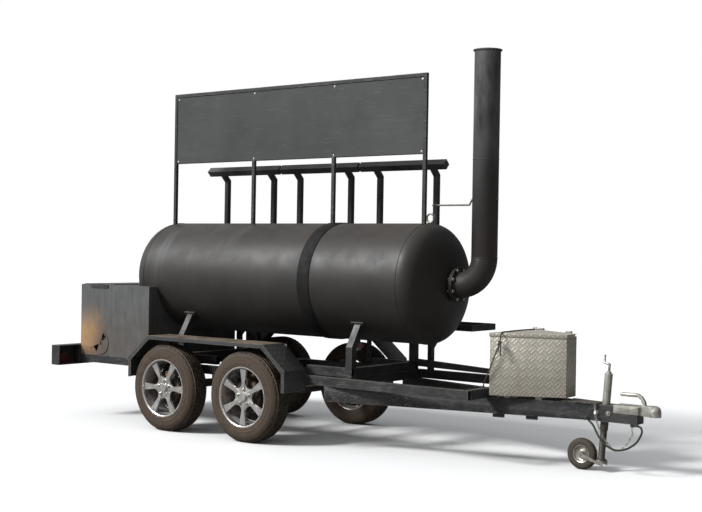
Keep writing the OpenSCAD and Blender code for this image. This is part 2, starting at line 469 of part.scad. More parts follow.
// ---- shelf ----
module shelf_frame() put(steel) {
  bx(shelf_x0, shelf_x1, shelf_y1 - 5, shelf_y1, shelf_z1 - shelf_h, shelf_z1);
  bx(shelf_x0, shelf_x1, shelf_y0, shelf_y0 + 5, shelf_z1 - shelf_h, shelf_z1);
  for (x = [shelf_x0, shelf_x1 - 5]) bx(x, x + 5, shelf_y0 + 5, shelf_y1 - 5, shelf_z1 - shelf_h, shelf_z1);
  for (x = [-700, -86, 467, 1120]) bx(x, x + 40, shelf_y0 + 5, shelf_y1 - 5, shelf_z1 - shelf_h, shelf_z1 - shelf_h + 5);
  for (x = [-700, 1120]) {
    bx(x, x + 36, shelf_y0 + 2, fy - 2, rail_top, shelf_z1 - shelf_h);
    yz(x + 14, x + 22, [[fy - 2, shelf_z1 - 200], [fy - 2, shelf_z1 - shelf_h], [fy + 170, shelf_z1 - shelf_h]]);
  }
}
module shelf_slats() put([0.2, 0.13, 0.09]) for (k = [0:4]) {
  w = (shelf_y1 - shelf_y0 - 10 - 30)/5;
  bx(shelf_x0 + 6, shelf_x1 - 6, shelf_y0 + 8 + k*(w + 6), shelf_y0 + 8 + k*(w + 6) + w, shelf_z1 - shelf_h + 5, shelf_z1 - shelf_h + 25);
}
// ---- tool box ----
module trapezoid(o, z0, z1) linear_extrude_at(z0, z1 - z0) polygon([[bx0 - o, -bw0 - o*1.2], [bx1 + o, -bw1 - o*0.8], [bx1 + o, bw1 + o*0.8], [bx0 - o, bw0 + o*1.2]]);
module tool_box() put(alloy) {
  difference() { trapezoid(0, bz0, bz1 - lid_h + 8); trapezoid(-box_t, bz0 + box_t, bz1 + 1); }
  both() translate([920, -fy, rail_bot]) rotate([0, 0, beam_a]) for (f = [0.12, 0.58]) translate([(bx0 + f*box_length - 920)/cos(beam_a), 6, 0]) cube([40, 38, bz0 - rail_bot]);
}
hb = bz1 + 4;
module on_far_edge() translate([bx0, bw0 + 10, 0]) rotate([0, 0, -box_a]) children();
edge_l = box_length/cos(box_a);
module box_lid() put(alloy) {
  difference() { trapezoid(4, bz1 - lid_h, bz1); trapezoid(1, bz1 - lid_h - 1, bz1 - 3); on_far_edge() { bx(-20, edge_l + 20, -66, 20, bz1 - 40, bz1 - 3); bx(-20, edge_l + 20, -7.3, 20, bz1 - 40, bz1 + 1); } }
  on_far_edge() for (x = [60, edge_l - 110]) difference() {
    union() { cx(x + 15, x + 35, 0, hb, 8); bx(x + 15, x + 35, -40, -2, bz1, bz1 + 4); }
    cx(x + 14, x + 36, 0, hb, 4.05);
  }
  bx(bx0 + 42, bx0 + 68, 190, 202, bz1 - 2, bz1 + 18);
}
module box_hinges() put(zinc) on_far_edge() for (x = [60, edge_l - 110]) {
  cx(x, x + 50, 0, hb, 4);
  for (e = [0, 36]) { cx(x + e, x + e + 14, 0, hb, 8); bx(x + e, x + e + 14, -6.5, -1.5, bz1 - 70, bz1 - lid_h + 2); bx(x + e, x + e + 14, -1.5, 2.5, bz1 - 70, hb); }
}
// ---- front end ----
module clamp_bolts() put(zinc) for (x = [2655, 2732]) {
  cy(-nose_y, nose_y, x, beam_bot + 52, 5.8);
  translate([x, -nose_y, beam_bot + 52]) rotate([90, 0, 0]) cylinder(h = 5, r = 15);
  translate([x, -nose_y - 5, beam_bot + 52]) sphere(r = 7.8);
  translate([x, nose_y, beam_bot + 52]) rotate([-90, 0, 0]) cylinder(h = 10, r = 11, $fn = 6);
}
cup_z = rail_bot - 23; cup_r = 25.1;
module coupling_body() put(zinc) {
  cy(-20, 20, ch[0], ch[1], 5);
  difference() {
  union() {
    bx(2765, 2925, -nose_y - 4, nose_y + 4, rail_bot, rail_bot + 6);
    for (s = [-1, 1]) bx(2765, nose_x1 + 8, s*(nose_y + 2) - 2, s*(nose_y + 2) + 2, rail_bot - 42, rail_bot);
    xz(-34, 34, [[nose_x1 + 1, rail_bot - 42], [nose_x1 + 1, rail_bot + 6], [2960, rail_bot + 12], [coup_x, rail_bot + 12], [coup_x + 12, rail_bot - 45], [coup_x - 40, rail_bot - 50]]);
    bx(nose_x1 + 1, nose_x1 + 8, -nose_y - 4, nose_y + 4, rail_bot - 42, rail_bot);
    translate([coup_x, 0, rail_bot - 50]) rotate_extrude() polygon([[0, 0], [38, 0], [38, 30], [34, 48], [24, 60], [10, 64], [0, 64]]);
  }
  translate([coup_x, 0, rail_bot - 60]) cylinder(h = 50, r = cup_r);
  for (x = [2790, 2868]) cz(rail_bot - 80, rail_bot + 20, x, 0, 6.5);
  xz(-14, 14, [[2925, rail_bot + 40], [2925, rail_bot - 12], [2972, rail_bot - 12], [2972, rail_bot + 40]]);
  }
}
ch = [2940, rail_bot + 4];
module coupling_handle() put(zinc) difference() {
  union() {
    xz(-11, 11, [[ch[0] - 9, ch[1] - 4], [ch[0] + 8, ch[1]], [ch[0] + 2, ch[1] + 30], [ch[0] - 16, ch[1] + 58], [ch[0] - 42, ch[1] + 74], [ch[0] - 60, ch[1] + 74], [ch[0] - 60, ch[1] + 60], [ch[0] - 44, ch[1] + 56], [ch[0] - 24, ch[1] + 40], [ch[0] - 14, ch[1] + 20]]);
    cx(ch[0] - 145, ch[0] - 50, 0, ch[1] + 64, 12);
    translate([ch[0] - 145, 0, ch[1] + 64]) sphere(r = 12);
    cy(-11, 11, ch[0], ch[1], 9);
  }
  cy(-20, 20, ch[0], ch[1], 5.05);
}
module at_jack() translate(jp) rotate([0, jockey_lean, 0]) children();
module jack_tube() put(zinc) {
  at_jack() difference() {
    union() { cz(-110, 232, 0, 0, jt); cz(232, 244, 0, 0, 15); }
    cz(-111, 226, 0, 0, ji + 0.5); cz(220, 250, 0, 0, 7.05);
  }
}
module jack_crank() put(zinc) at_jack() {
  cz(150, 290, 0, 0, 7);
  translate([0, 0, 287]) rotate([0, -80, 0]) cylinder(h = 34, r = 7);
  translate([-34, 0, 292]) cylinder(h = 48, r = 6);
  translate([-34, 0, 293]) sphere(r = 7);
}
module jack_inner() put(zinc) at_jack() difference() {
  union() { cz(jack_foot, 60, 0, 0, ji); cz(jack_foot, jack_foot + 8, 0, 0, 30); }
  cz(jack_foot + 12, 61, 0, 0, 9);
}
// wheel centre in jack coordinates
wlx = (wheel_x - jp[0])*jack_c - (jr - jp[2])*jack_s; wlz = (wheel_x - jp[0])*jack_s + (jr - jp[2])*jack_c;
module jack_fork() put(zinc) at_jack() {
  cz(jack_foot - 9, jack_foot - 0.5, 0, 0, 30);
  for (s = [-1, 1]) difference() {
    union() {
      xz(s*32 - 2, s*32 + 2, [[26, jack_foot - 3], [26, jack_foot - 32], [wlx + 12, wlz - 16], [wlx - 14, wlz + 12], [-26, jack_foot - 3]]);
      cy(s*32 - 2, s*32 + 2, wlx, wlz, 18);
    }
  }
  bx(-20, 24, -34, 34, jack_foot - 9, jack_foot - 5);
  cy(-40, 40, wlx, wlz, 8);
}
module jack_wheel() put([0.1, 0.1, 0.1]) translate([wheel_x, 0, jr]) rotate([90, 0, 0]) difference() {
  rotate_extrude() polygon([[8.05, -29], [18, -29], [18, -12], [52, -12], [56, -19], [62, -20], [jr - 14, -23], [jr - 4, -20], [jr, -12], [jr, 12], [jr - 4, 20], [jr - 14, 23], [62, 20], [56, 19], [52, 12], [18, 12], [18, 29], [8.05, 29]]);
  for (k = [0:4]) rotate([0, 0, k*72]) translate([36, 0, -20]) cylinder(h = 40, r = 7);
}
drain_x = 836;
module drain_pipe() put(zinc) {
  difference() {
    union() { cz(tz - tr - 62, tz - tr + 2, drain_x, 0, 17); cx(drain_x - 22, drain_x + 22, 0, tz - tr - 40, 20); cz(tz - tr - 74, tz - tr - 56, drain_x, 0, 22); }
    cz(tz - tr - 80, tz - tr + 20, drain_x, 0, 14); tank_solid(0);
  }
  cy(-34, -12, drain_x, tz - tr - 40, 6);
}
module drain_lever() put([0.5, 0.1, 0.08]) difference() {
  union() { bx(drain_x - 12, drain_x + 70, -26, -22, tz - tr - 50, tz - tr - 30); cy(-28, -21, drain_x, tz - tr - 40, 12); }
  cy(-40, 0, drain_x, tz - tr - 40, 6.05);
}
// ---- road wheels ----
module wheel(x, s, c) put(c) translate([x, 0, tyre_r]) mirror([0, s > 0 ? 1 : 0, 0]) translate([0, -wy1, 0]) rotate([90, 0, 0]) translate([0, 0, -tyre_w]) children();
// wheel along z: inner sidewall at 0, outer sidewall at tyre_w
module tyre_z() {
  w = tyre_w;
  difference() {
    rotate_extrude() polygon([[rim_r - 12, 6], [rim_r, 4], [rim_r + 20, 0], [tyre_r - 45, 0], [tyre_r - 14, 8], [tyre_r - 3, 22], [tyre_r, 36],
      [tyre_r, w - 36], [tyre_r - 3, w - 22], [tyre_r - 14, w - 8], [tyre_r - 45, w], [rim_r + 20, w], [rim_r, w - 4], [rim_r - 12, w - 6],
      [rim_r - 12, w - 22], [rim_r + 4, w - 20], [rim_r + 20, w - 9], [tyre_r - 45, w - 9], [tyre_r - 22, w - 18], [tyre_r - 16, w - 36],
      [tyre_r - 16, 36], [tyre_r - 22, 18], [tyre_r - 45, 9], [rim_r + 20, 9], [rim_r + 4, 20], [rim_r - 12, 22]]);
    for (z = [44, 68, w - 73, w - 49]) translate([0, 0, z]) difference() { cylinder(h = 5, r = tyre_r + 2); translate([0, 0, -1]) cylinder(h = 7, r = tyre_r - 7); }
  }
}
module rim_z() {
  w = tyre_w;
  difference() {
    union() {
      rotate_extrude() polygon([[rim_r - 12, 6], [rim_r - 12, w - 6], [rim_r - 20, w - 8], [rim_r - 24, w - 30], [rim_r - 30, w - 60], [rim_r - 30, 30], [rim_r - 20, 8]]);
      translate([0, 0, w - 52]) cylinder(h = 24, r = 72);
      for (k = [0:5]) rotate([0, 0, k*60 + 90]) translate([0, 0, w - 44]) linear_extrude(26) polygon([[50, -26], [50, 26], [120, 15], [rim_r - 20, 22], [rim_r - 20, -22], [120, -15]]);
      translate([0, 0, w - 28]) cylinder(h = 10, r = 32);
      translate([0, 0, 30]) cylinder(h = w - 82, r = 115);
      translate([0, 0, 24]) cylinder(h = 20, r = 40);
    }
    for (k = [0:4]) rotate([0, 0, k*72 + 90]) translate([50, 0, w - 40]) cylinder(h = 40, r = 11);
    translate([0, 0, -1]) cylinder(h = w - 55, r = spindle_r + run);
    translate([0, 0, 36]) difference() { cylinder(h = w - 96, r = 105); translate([0, 0, -1]) cylinder(h = w, r = 38); }
  }
  for (k = [0:4]) rotate([0, 0, k*72 + 90]) translate([50, 0, w - 41]) cylinder(h = 15, r = 9.5, $fn = 6);
}
module tyre_rear_near() wheel(-ax, -1, black) tyre_z();
module tyre_front_near() wheel(ax, -1, black) tyre_z();
module tyre_rear_far() wheel(-ax, 1, black) tyre_z();
module tyre_front_far() wheel(ax, 1, black) tyre_z();
module rim_rear_near() wheel(-ax, -1, alloy) rim_z();
module rim_front_near() wheel(ax, -1, alloy) rim_z();
module rim_rear_far() wheel(-ax, 1, alloy) rim_z();
module rim_front_far() wheel(ax, 1, alloy) rim_z();
// ---- cords ----
cable_pts = [[2600, -60, 318], [2612, -60, 307.2], [2640, -60, 282], [2690, -76, 215], [2745, -78, 168], [2800, -76, 152], [2860, -72, 166], [2915, -64, 205], [2944, -52, 262], [2935, -40, 292], [2924.5, -40, 297], [2914, -40, 302]];
chain_pts = [[2652, -62, 404], [2652, -62, 394], [2652, -62, 380], [2664, -76, 330], [2694, -62, 240], [2735, -46, 175], [2780, -38, 140], [2835, -34, 176], [2875, -30, 244], [2875, -30, 267], [2875, -30, 290]];
rope_pts = [[2100, 189.9, 816], [2100, 170, 816], [2100, 150, 816], [2092, 60, 816], [2096, -60, 816], [2104, -160, 816], [2110, -222, 816.4], [2113, -250, 809.5], [2114, -262, 785], [2110, -267, 752],
  [2096, -272, 706], [2072, -280, 640], [2044, -287, 560], [2022, -290, 510], [2014, -288, 476]];
function unit(v) = v/norm(v);
function cr(p, i, t) = let (n = len(p), a = p[max(i - 1, 0)], b = p[i], c = p[min(i + 1, n - 1)], d = p[min(i + 2, n - 1)])
  0.5*(2*b + (c - a)*t + (2*a - 5*b + 4*c - d)*t*t + (3*b - a - 3*c + d)*t*t*t);
function smooth(p, m) = concat([for (i = [0:len(p) - 2], k = [0:m - 1]) cr(p, i, k/m)], [p[len(p) - 1]]);
function frames(p, i, u) = i == len(p) ? [] : let (t = unit(p[min(i + 1, len(p) - 1)] - p[max(i - 1, 0)]), v = unit(u - (u*t)*t)) concat([[v, cross(t, v)]], frames(p, i + 1, v));
module cord(pts, r, sides, m) {
  p = smooth(pts, m); n = len(p); f = frames(p, 0, [0.3, 1, 0.1]);
  polyhedron(points = [for (i = [0:n - 1], k = [0:sides - 1]) p[i] + r*cos(360*k/sides)*f[i][0] + r*sin(360*k/sides)*f[i][1]],
    faces = concat([[for (k = [0:sides - 1]) k]], [[for (k = [sides - 1:-1:0]) (n - 1)*sides + k]],
      [for (i = [0:n - 2], k = [0:sides - 1]) [i*sides + k, (i + 1)*sides + k, (i + 1)*sides + (k + 1)%sides, i*sides + (k + 1)%sides]]));
}
module brake_cable() put(black) cord(cable_pts, 6, 10, 4);
module safety_chain() put(zinc) cord(chain_pts, 6, 10, 4);
module tie_rope() put([0.25, 0.22, 0.18]) cord(rope_pts, 4, 10, 5);

chassis_rails();
drawbar();
rear_bumper();
axle_beams();
leaf_springs();
spring_hangers();
u_bolts();
fenders();
tail_lamps();
tank_cradle();
tank_shell();
tank_band();
cooking_grates();
baffle_plate();
door_hinges();
sign_frame();
sign_panel();
sign_screws();
flue_pipe();
flue_flange();
flange_bolts();
lifting_eye();
firebox();
fire_grate();
shelf_frame();
shelf_slats();
tool_box();
box_hinges();
clamp_bolts();
coupling_body();
jack_tube();
drain_pipe();
brake_cable();
safety_chain();
tie_rope();
door_rear();
door_middle();
door_front();
weight_rear();
weight_middle();
weight_front();
firebox_lid();
ash_drawer();
draft_disc();
flue_damper();
drain_lever();
coupling_handle();
jack_inner();
jack_fork();
jack_wheel();
jack_crank();
box_lid();
tyre_rear_near();
tyre_front_near();
tyre_rear_far();
tyre_front_far();
rim_rear_near();
rim_front_near();
rim_rear_far();
rim_front_far();
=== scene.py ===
"""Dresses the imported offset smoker: finishes, tyres, alloy rims, chain, rope and studio."""

import json
import math

import bmesh
import bpy
from bpy.props import FloatProperty, FloatVectorProperty, IntProperty, PointerProperty
from mathutils import Matrix, Vector


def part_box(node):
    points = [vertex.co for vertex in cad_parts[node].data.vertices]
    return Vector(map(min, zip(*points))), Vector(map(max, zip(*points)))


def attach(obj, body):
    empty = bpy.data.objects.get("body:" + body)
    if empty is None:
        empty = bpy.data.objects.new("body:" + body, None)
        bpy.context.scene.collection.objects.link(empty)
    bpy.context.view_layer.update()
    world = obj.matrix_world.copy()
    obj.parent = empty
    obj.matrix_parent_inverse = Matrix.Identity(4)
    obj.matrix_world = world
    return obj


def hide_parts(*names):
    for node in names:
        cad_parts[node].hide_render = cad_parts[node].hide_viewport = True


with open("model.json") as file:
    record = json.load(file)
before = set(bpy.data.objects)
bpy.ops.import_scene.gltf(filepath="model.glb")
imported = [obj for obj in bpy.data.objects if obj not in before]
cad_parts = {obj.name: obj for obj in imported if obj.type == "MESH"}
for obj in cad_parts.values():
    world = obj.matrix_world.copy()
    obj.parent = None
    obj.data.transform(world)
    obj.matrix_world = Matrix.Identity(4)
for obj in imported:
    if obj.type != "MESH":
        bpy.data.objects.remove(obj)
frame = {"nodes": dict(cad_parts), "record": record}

bl_info = {
    "name": "Offset smoker dresser",
    "version": (1, 0, 0),
    "blender": (4, 5, 0),
    "location": "View3D > Sidebar > Smoker",
    "description": "Builds the finishes and fine pieces of the trailer smoker",
    "category": "Object",
}

RECORD = frame["record"]
BODY = {n: b for b, names in RECORD["behaviour"]["bodies"].items() for n in names}
SLOT = {s["node"]: s["material_slot"] for s in RECORD["subparts"]}
WHEELS = ("rear_near", "front_near", "rear_far", "front_far")


def place(x, y, z):
    """A point of the trailer's own millimetre layout (mid-axle, centreline, ground) in metres."""
    return Vector(((x - 727.5) / 1000, (y - 25) / 1000, z / 1000))


# ---------------------------------------------------------------- sizes and colours
def colour(name, value, words):
    return FloatVectorProperty(name=name, description=words, subtype="COLOR", size=3, default=value, min=0, max=1)


def length(name, value, words, low=0.0001, high=3.0):
    return FloatProperty(name=name, description=words, default=value, min=low, max=high, unit="LENGTH", subtype="DISTANCE")


class SmokerPaint(bpy.types.PropertyGroup):
    chamber: colour("Chamber black", (0.0245, 0.0212, 0.0190), "Heat-proof black of the tank, flue and doors")
    chamber_scuff: colour("Chamber scuff", (0.105, 0.105, 0.108), "Where the black has chalked to grey")
    chassis: colour("Chassis black", (0.017, 0.0175, 0.018), "Paint of the rails and drawbar")
    bare: colour("Bare edge", (0.26, 0.255, 0.24), "Steel where the paint has worn off")
    dust: colour("Road dust", (0.235, 0.165, 0.10), "Dry earth lying on the trailer")
    sign: colour("Sign sheet", (0.036, 0.0385, 0.038), "Matt sheet of the sign")
    firebox: colour("Firebox steel", (0.102, 0.094, 0.087), "Weathered mill steel")
    heat_rust: colour("Heat rust", (0.36, 0.210, 0.092), "Rust where the fire has burnt the paint off")
    rubber: colour("Tyre rubber", (0.018, 0.0155, 0.013), "Rubber under its dust")
    alloy: colour("Alloy", (0.60, 0.585, 0.56), "Lacquered wheel alloy")
    tread_plate: colour("Tread plate", (0.60, 0.56, 0.485), "Aluminium of the tool box")
    zinc: colour("Zinc", (0.43, 0.42, 0.37), "Zinc plating of the coupling and bolts")


class SmokerWheels(bpy.types.PropertyGroup):
    tread_pitches: IntProperty(name="Tread pitches", description="Rows of tread blocks round a tyre", default=84, min=40, max=120)
    tread_depth: length("Tread depth", 0.006, "Height of a tread block", 0.002, 0.01)
    spokes: IntProperty(name="Spokes", description="Spokes of a rim", default=6, min=3, max=12)
    spoke_width: length("Spoke width", 0.029, "Width of a spoke at its waist", 0.015, 0.05)


class SmokerDetail(bpy.types.PropertyGroup):
    edge_round: length("Edge rounding", 0.0015, "Rounding of the folded and cut edges", 0.0003, 0.004)
    weld: length("Weld bead", 0.0030, "Radius of a weld bead", 0.001, 0.006)
    link_wire: length("Chain wire", 0.0036, "Wire of a chain link", 0.002, 0.005)
    plate_pitch: length("Tread plate cell", 0.037, "Side of one cell of the tread pattern", 0.01, 0.08)


class SmokerStage(bpy.types.PropertyGroup):
    floor: colour("Floor", (0.86, 0.86, 0.86), "Studio floor")
    key: FloatProperty(name="Key light", description="Strength of the key light", default=3.7, min=0, max=20)
    fill: FloatProperty(name="Fill light", description="Strength of the surrounding light", default=0.50, min=0, max=5)
    lens: length("Lens", 0.0622769, "Focal length of the camera", 0.02, 0.2)


def paint():
    return bpy.context.scene.smoker_paint


def rgba(value, k=1.0):
    return (value[0] * k, value[1] * k, value[2] * k, 1.0)


# ---------------------------------------------------------------- node graphs
class Graph:
    """Puts nodes into one tree; an input is a socket to link or a value to set."""

    def __init__(self, tree):
        self.tree = tree

    def put(self, kind, inputs=None, **settings):
        node = self.tree.nodes.new(kind)
        for key, value in settings.items():
            setattr(node, key, value)
        for key, value in (inputs or {}).items():
            if isinstance(value, bpy.types.NodeSocket):
                self.tree.links.new(value, node.inputs[key])
            else:
                node.inputs[key].default_value = value
        return node

    def math(self, operation, a, b=0.5, c=None, clamp=False):
        inputs = {0: a, 1: b}
        if c is not None:
            inputs[2] = c
        return self.put("ShaderNodeMath", inputs, operation=operation, use_clamp=clamp).outputs[0]

    def mix(self, factor, a, b, blend="MIX"):
        return self.put("ShaderNodeMix", {0: factor, 6: a, 7: b}, data_type="RGBA", blend_type=blend).outputs[2]

    def range(self, value, low, high, to_low=0.0, to_high=1.0, smooth=True):
        return self.put("ShaderNodeMapRange", {"Value": value, "From Min": low, "From Max": high, "To Min": to_low, "To Max": to_high},
                        interpolation_type="SMOOTHSTEP" if smooth else "LINEAR").outputs[0]

    def noise(self, vector, scale, detail=4.0, rough=0.55, distortion=0.0):
        return self.put("ShaderNodeTexNoise", {"Vector": vector, "Scale": scale, "Detail": detail, "Roughness": rough, "Distortion": distortion}).outputs["Fac"]

    def coords(self):
        return self.put("ShaderNodeTexCoord").outputs["Object"]

    def stretched(self, vector, scale):
        return self.put("ShaderNodeMapping", {"Vector": vector, "Scale": scale}).outputs[0]


GROUPS = {}


def group(name, inputs, outputs):
    """A new shader node group with float inputs {name: default} and outputs {name: kind}."""
    tree = bpy.data.node_groups.new(name, "ShaderNodeTree")
    for key, value in inputs.items():
        kind = "NodeSocketVector" if isinstance(value, tuple) else "NodeSocketFloat"
        tree.interface.new_socket(key, in_out="INPUT", socket_type=kind).default_value = value
    for key, kind in outputs.items():
        tree.interface.new_socket(key, in_out="OUTPUT", socket_type=kind)
    g = Graph(tree)
    GROUPS[name] = tree
    return g, g.put("NodeGroupInput").outputs, g.put("NodeGroupOutput").inputs


def build_groups():
    g, i, o = group("Patches", {"Scale": 4.0, "From": 0.45, "To": 0.65, "Stretch": (1.0, 1.0, 1.0)}, {"Mask": "NodeSocketFloat"})
    v = g.put("ShaderNodeMapping", {"Vector": g.coords(), "Scale": i["Stretch"]}).outputs[0]
    n = g.noise(v, i["Scale"], 6.0, 0.6)
    g.tree.links.new(g.range(n, i["From"], i["To"]), o["Mask"])

    g, i, o = group("Worn edges", {"Reach": 0.005, "From": 0.02, "To": 0.25}, {"Mask": "NodeSocketFloat"})
    rounded = g.put("ShaderNodeBevel", {"Radius": i["Reach"]}, samples=4).outputs[0]
    face = g.put("ShaderNodeNewGeometry").outputs["Normal"]
    turn = g.put("ShaderNodeVectorMath", {0: rounded, 1: face}, operation="DOT_PRODUCT").outputs["Value"]
    edge = g.range(g.math("SUBTRACT", 1.0, turn), i["From"], i["To"])
    rub = g.range(g.noise(g.coords(), 38.0, 4.0), 0.36, 0.60)
    g.tree.links.new(g.math("MULTIPLY", edge, rub), o["Mask"])

    g, i, o = group("Dust", {"Amount": 0.6, "Low": 0.35, "High": 1.0}, {"Mask": "NodeSocketFloat"})
    up = g.put("ShaderNodeSeparateXYZ", {0: g.put("ShaderNodeNewGeometry").outputs["Normal"]}).outputs[2]
    lying = g.range(up, i["Low"], i["High"])
    fine = g.range(g.noise(g.coords(), 9.0, 7.0, 0.65), 0.28, 0.66)
    speck = g.range(g.noise(g.coords(), 120.0, 3.0, 0.6), 0.35, 0.7, 0.55, 1.0)
    g.tree.links.new(g.math("MULTIPLY", g.math("MULTIPLY", lying, g.math("MULTIPLY", fine, speck)), i["Amount"], clamp=True), o["Mask"])

    g, i, o = group("Scratches", {"Scale": 1.0, "From": 0.62, "To": 0.70}, {"Mask": "NodeSocketFloat"})
    marks = None
    for turn, long, seed in ((0.35, 14.0, 3.1), (-0.6, 11.0, 8.7), (1.45, 18.0, 5.2)):
        v = g.put("ShaderNodeMapping", {"Vector": g.coords(), "Location": (seed, seed * 2, seed * 3), "Rotation": (turn, turn * 0.7, turn), "Scale": (8.0, 8.0 * long, 8.0 * long)}).outputs[0]
        one = g.range(g.noise(v, i["Scale"], 2.0, 0.5), i["From"], i["To"])
        marks = one if marks is None else g.math("MAXIMUM", marks, one)
    g.tree.links.new(marks, o["Mask"])

    # raised bars in cells that turn a quarter from one to the next, on the piece's own unwrapping in metres
    g, i, o = group("Tread bars", {"Cell": 0.033, "Bars": 4.0}, {"Height": "NodeSocketFloat", "Flat": "NodeSocketFloat"})
    uv = g.put("ShaderNodeUVMap", uv_map="plate").outputs[0]
    turned = g.put("ShaderNodeVectorRotate", {"Vector": uv, "Angle": math.radians(45)}, rotation_type="Z_AXIS").outputs[0]
    xyz = g.put("ShaderNodeSeparateXYZ", {0: turned})
    x, y = (g.math("DIVIDE", xyz.outputs[k], i["Cell"]) for k in (0, 1))
    odd = g.math("FLOORED_MODULO", g.math("ADD", g.math("FLOOR", x), g.math("FLOOR", y)), 2.0)
    fx, fy = g.math("FRACT", x), g.math("FRACT", y)
    across = g.math("ADD", g.math("MULTIPLY", fx, odd), g.math("MULTIPLY", fy, g.math("SUBTRACT", 1.0, odd)))
    along = g.math("ADD", g.math("MULTIPLY", fy, odd), g.math("MULTIPLY", fx, g.math("SUBTRACT", 1.0, odd)))
    wave = g.math("SINE", g.math("MULTIPLY", g.math("MULTIPLY", across, i["Bars"]), 2 * math.pi))
    ridge = g.range(wave, -0.25, 0.8)
    ends = g.range(g.math("ABSOLUTE", g.math("SUBTRACT", along, 0.5)), 0.47, 0.34)
    height = g.math("MULTIPLY", ridge, ends)
    g.tree.links.new(height, o["Height"])
    g.tree.links.new(g.math("SUBTRACT", 1.0, height), o["Flat"])


class Finish(Graph):
    """One material: its Principled shader, and the shared effects by name."""

    def __init__(self, name):
        self.material = bpy.data.materials.new(name)
        self.material.use_nodes = True
        super().__init__(self.material.node_tree)
        self.tree.nodes.clear()
        self.shader = self.put("ShaderNodeBsdfPrincipled")
        out = self.put("ShaderNodeOutputMaterial")
        self.tree.links.new(self.shader.outputs[0], out.inputs[0])

    def use(self, name, out="Mask", **values):
        node = self.put("ShaderNodeGroup", node_tree=GROUPS[name])
        for key, value in values.items():
            socket = node.inputs[key.replace("_", " ")]
            if isinstance(value, bpy.types.NodeSocket):
                self.tree.links.new(value, socket)
            else:
                socket.default_value = value
        return node.outputs[out]

    def set(self, **values):
        for key, value in values.items():
            socket = self.shader.inputs[key.replace("_", " ")]
            if isinstance(value, bpy.types.NodeSocket):
                self.tree.links.new(value, socket)
            else:
                socket.default_value = value

    def bump(self, height, distance, strength=1.0, under=None):
        inputs = {"Height": height, "Distance": distance, "Strength": strength}
        if under is not None:
            inputs["Normal"] = under
        return self.put("ShaderNodeBump", inputs).outputs[0]


MATERIALS = {}


def chamber_finish():
    f, p = Finish("chamber black"), paint()
    c = f.coords()
    broad = f.use("Patches", Scale=1.6, From=0.38, To=0.68)
    tone = f.mix(broad, rgba(p.chamber, 0.78), rgba(p.chamber, 1.25))
    rain = f.use("Patches", Scale=7.0, From=0.52, To=0.74, Stretch=(1.0, 0.25, 0.09))
    x = f.put("ShaderNodeSeparateXYZ", {0: c})
    rear = f.range(x.outputs[0], 0.1, -1.6)
    high = f.range(x.outputs[2], 0.95, 1.45)
    chalk = f.math("MULTIPLY", rain, f.math("MULTIPLY", f.math("ADD", rear, 0.12), f.math("ADD", high, 0.1)), clamp=True)
    tone = f.mix(f.math("MULTIPLY", chalk, 0.55), tone, rgba(p.chamber_scuff))
    speck = f.use("Patches", Scale=90.0, From=0.66, To=0.74)
    tone = f.mix(f.math("MULTIPLY", speck, 0.20), tone, rgba(p.chamber_scuff))
    tone = f.mix(f.use("Dust", Amount=0.10, Low=0.55, High=1.0), tone, rgba(p.dust, 0.8))
    tone = f.mix(f.math("MULTIPLY", f.use("Worn edges", Reach=0.004), 0.35), tone, rgba(p.bare, 0.5))
    # partly chalking, partly painted highlight: the flue is painted lighter grey, in patches, the higher it rises, as
    # if more light falls on its upper part
    chalk_and_top_light = f.math("MULTIPLY", f.range(x.outputs[2], 1.5, 2.6), f.use("Patches", Scale=6.0, From=0.30, To=0.62, Stretch=(1.0, 1.0, 0.3)))
    tone = f.mix(f.math("MULTIPLY", chalk_and_top_light, 0.85), tone, rgba(p.chamber_scuff, 1.7))
    rough = f.range(f.noise(c, 5.0, 5.0), 0.3, 0.7, 0.44, 0.58)
    low = f.bump(f.noise(c, 3.2, 2.0), 0.006, 0.35)
    f.set(Base_Color=tone, Roughness=rough, Normal=f.bump(f.noise(c, 260.0, 3.0), 0.0005, 0.30, low), Specular_IOR_Level=0.42)
    return f.material


def band_finish():
    f = Finish("band black")
    c = f.coords()
    tone = f.mix(f.use("Patches", Scale=9.0, From=0.4, To=0.68), (0.0045, 0.0045, 0.0045, 1), (0.0095, 0.009, 0.0085, 1))
    tone = f.mix(f.math("MULTIPLY", f.use("Worn edges", Reach=0.004), 0.3), tone, (0.05, 0.048, 0.045, 1))
    f.set(Base_Color=tone, Roughness=f.range(f.noise(c, 14.0, 4.0), 0.3, 0.7, 0.62, 0.78), Normal=f.bump(f.noise(c, 200.0, 3.0), 0.0005, 0.3), Specular_IOR_Level=0.25)
    return f.material


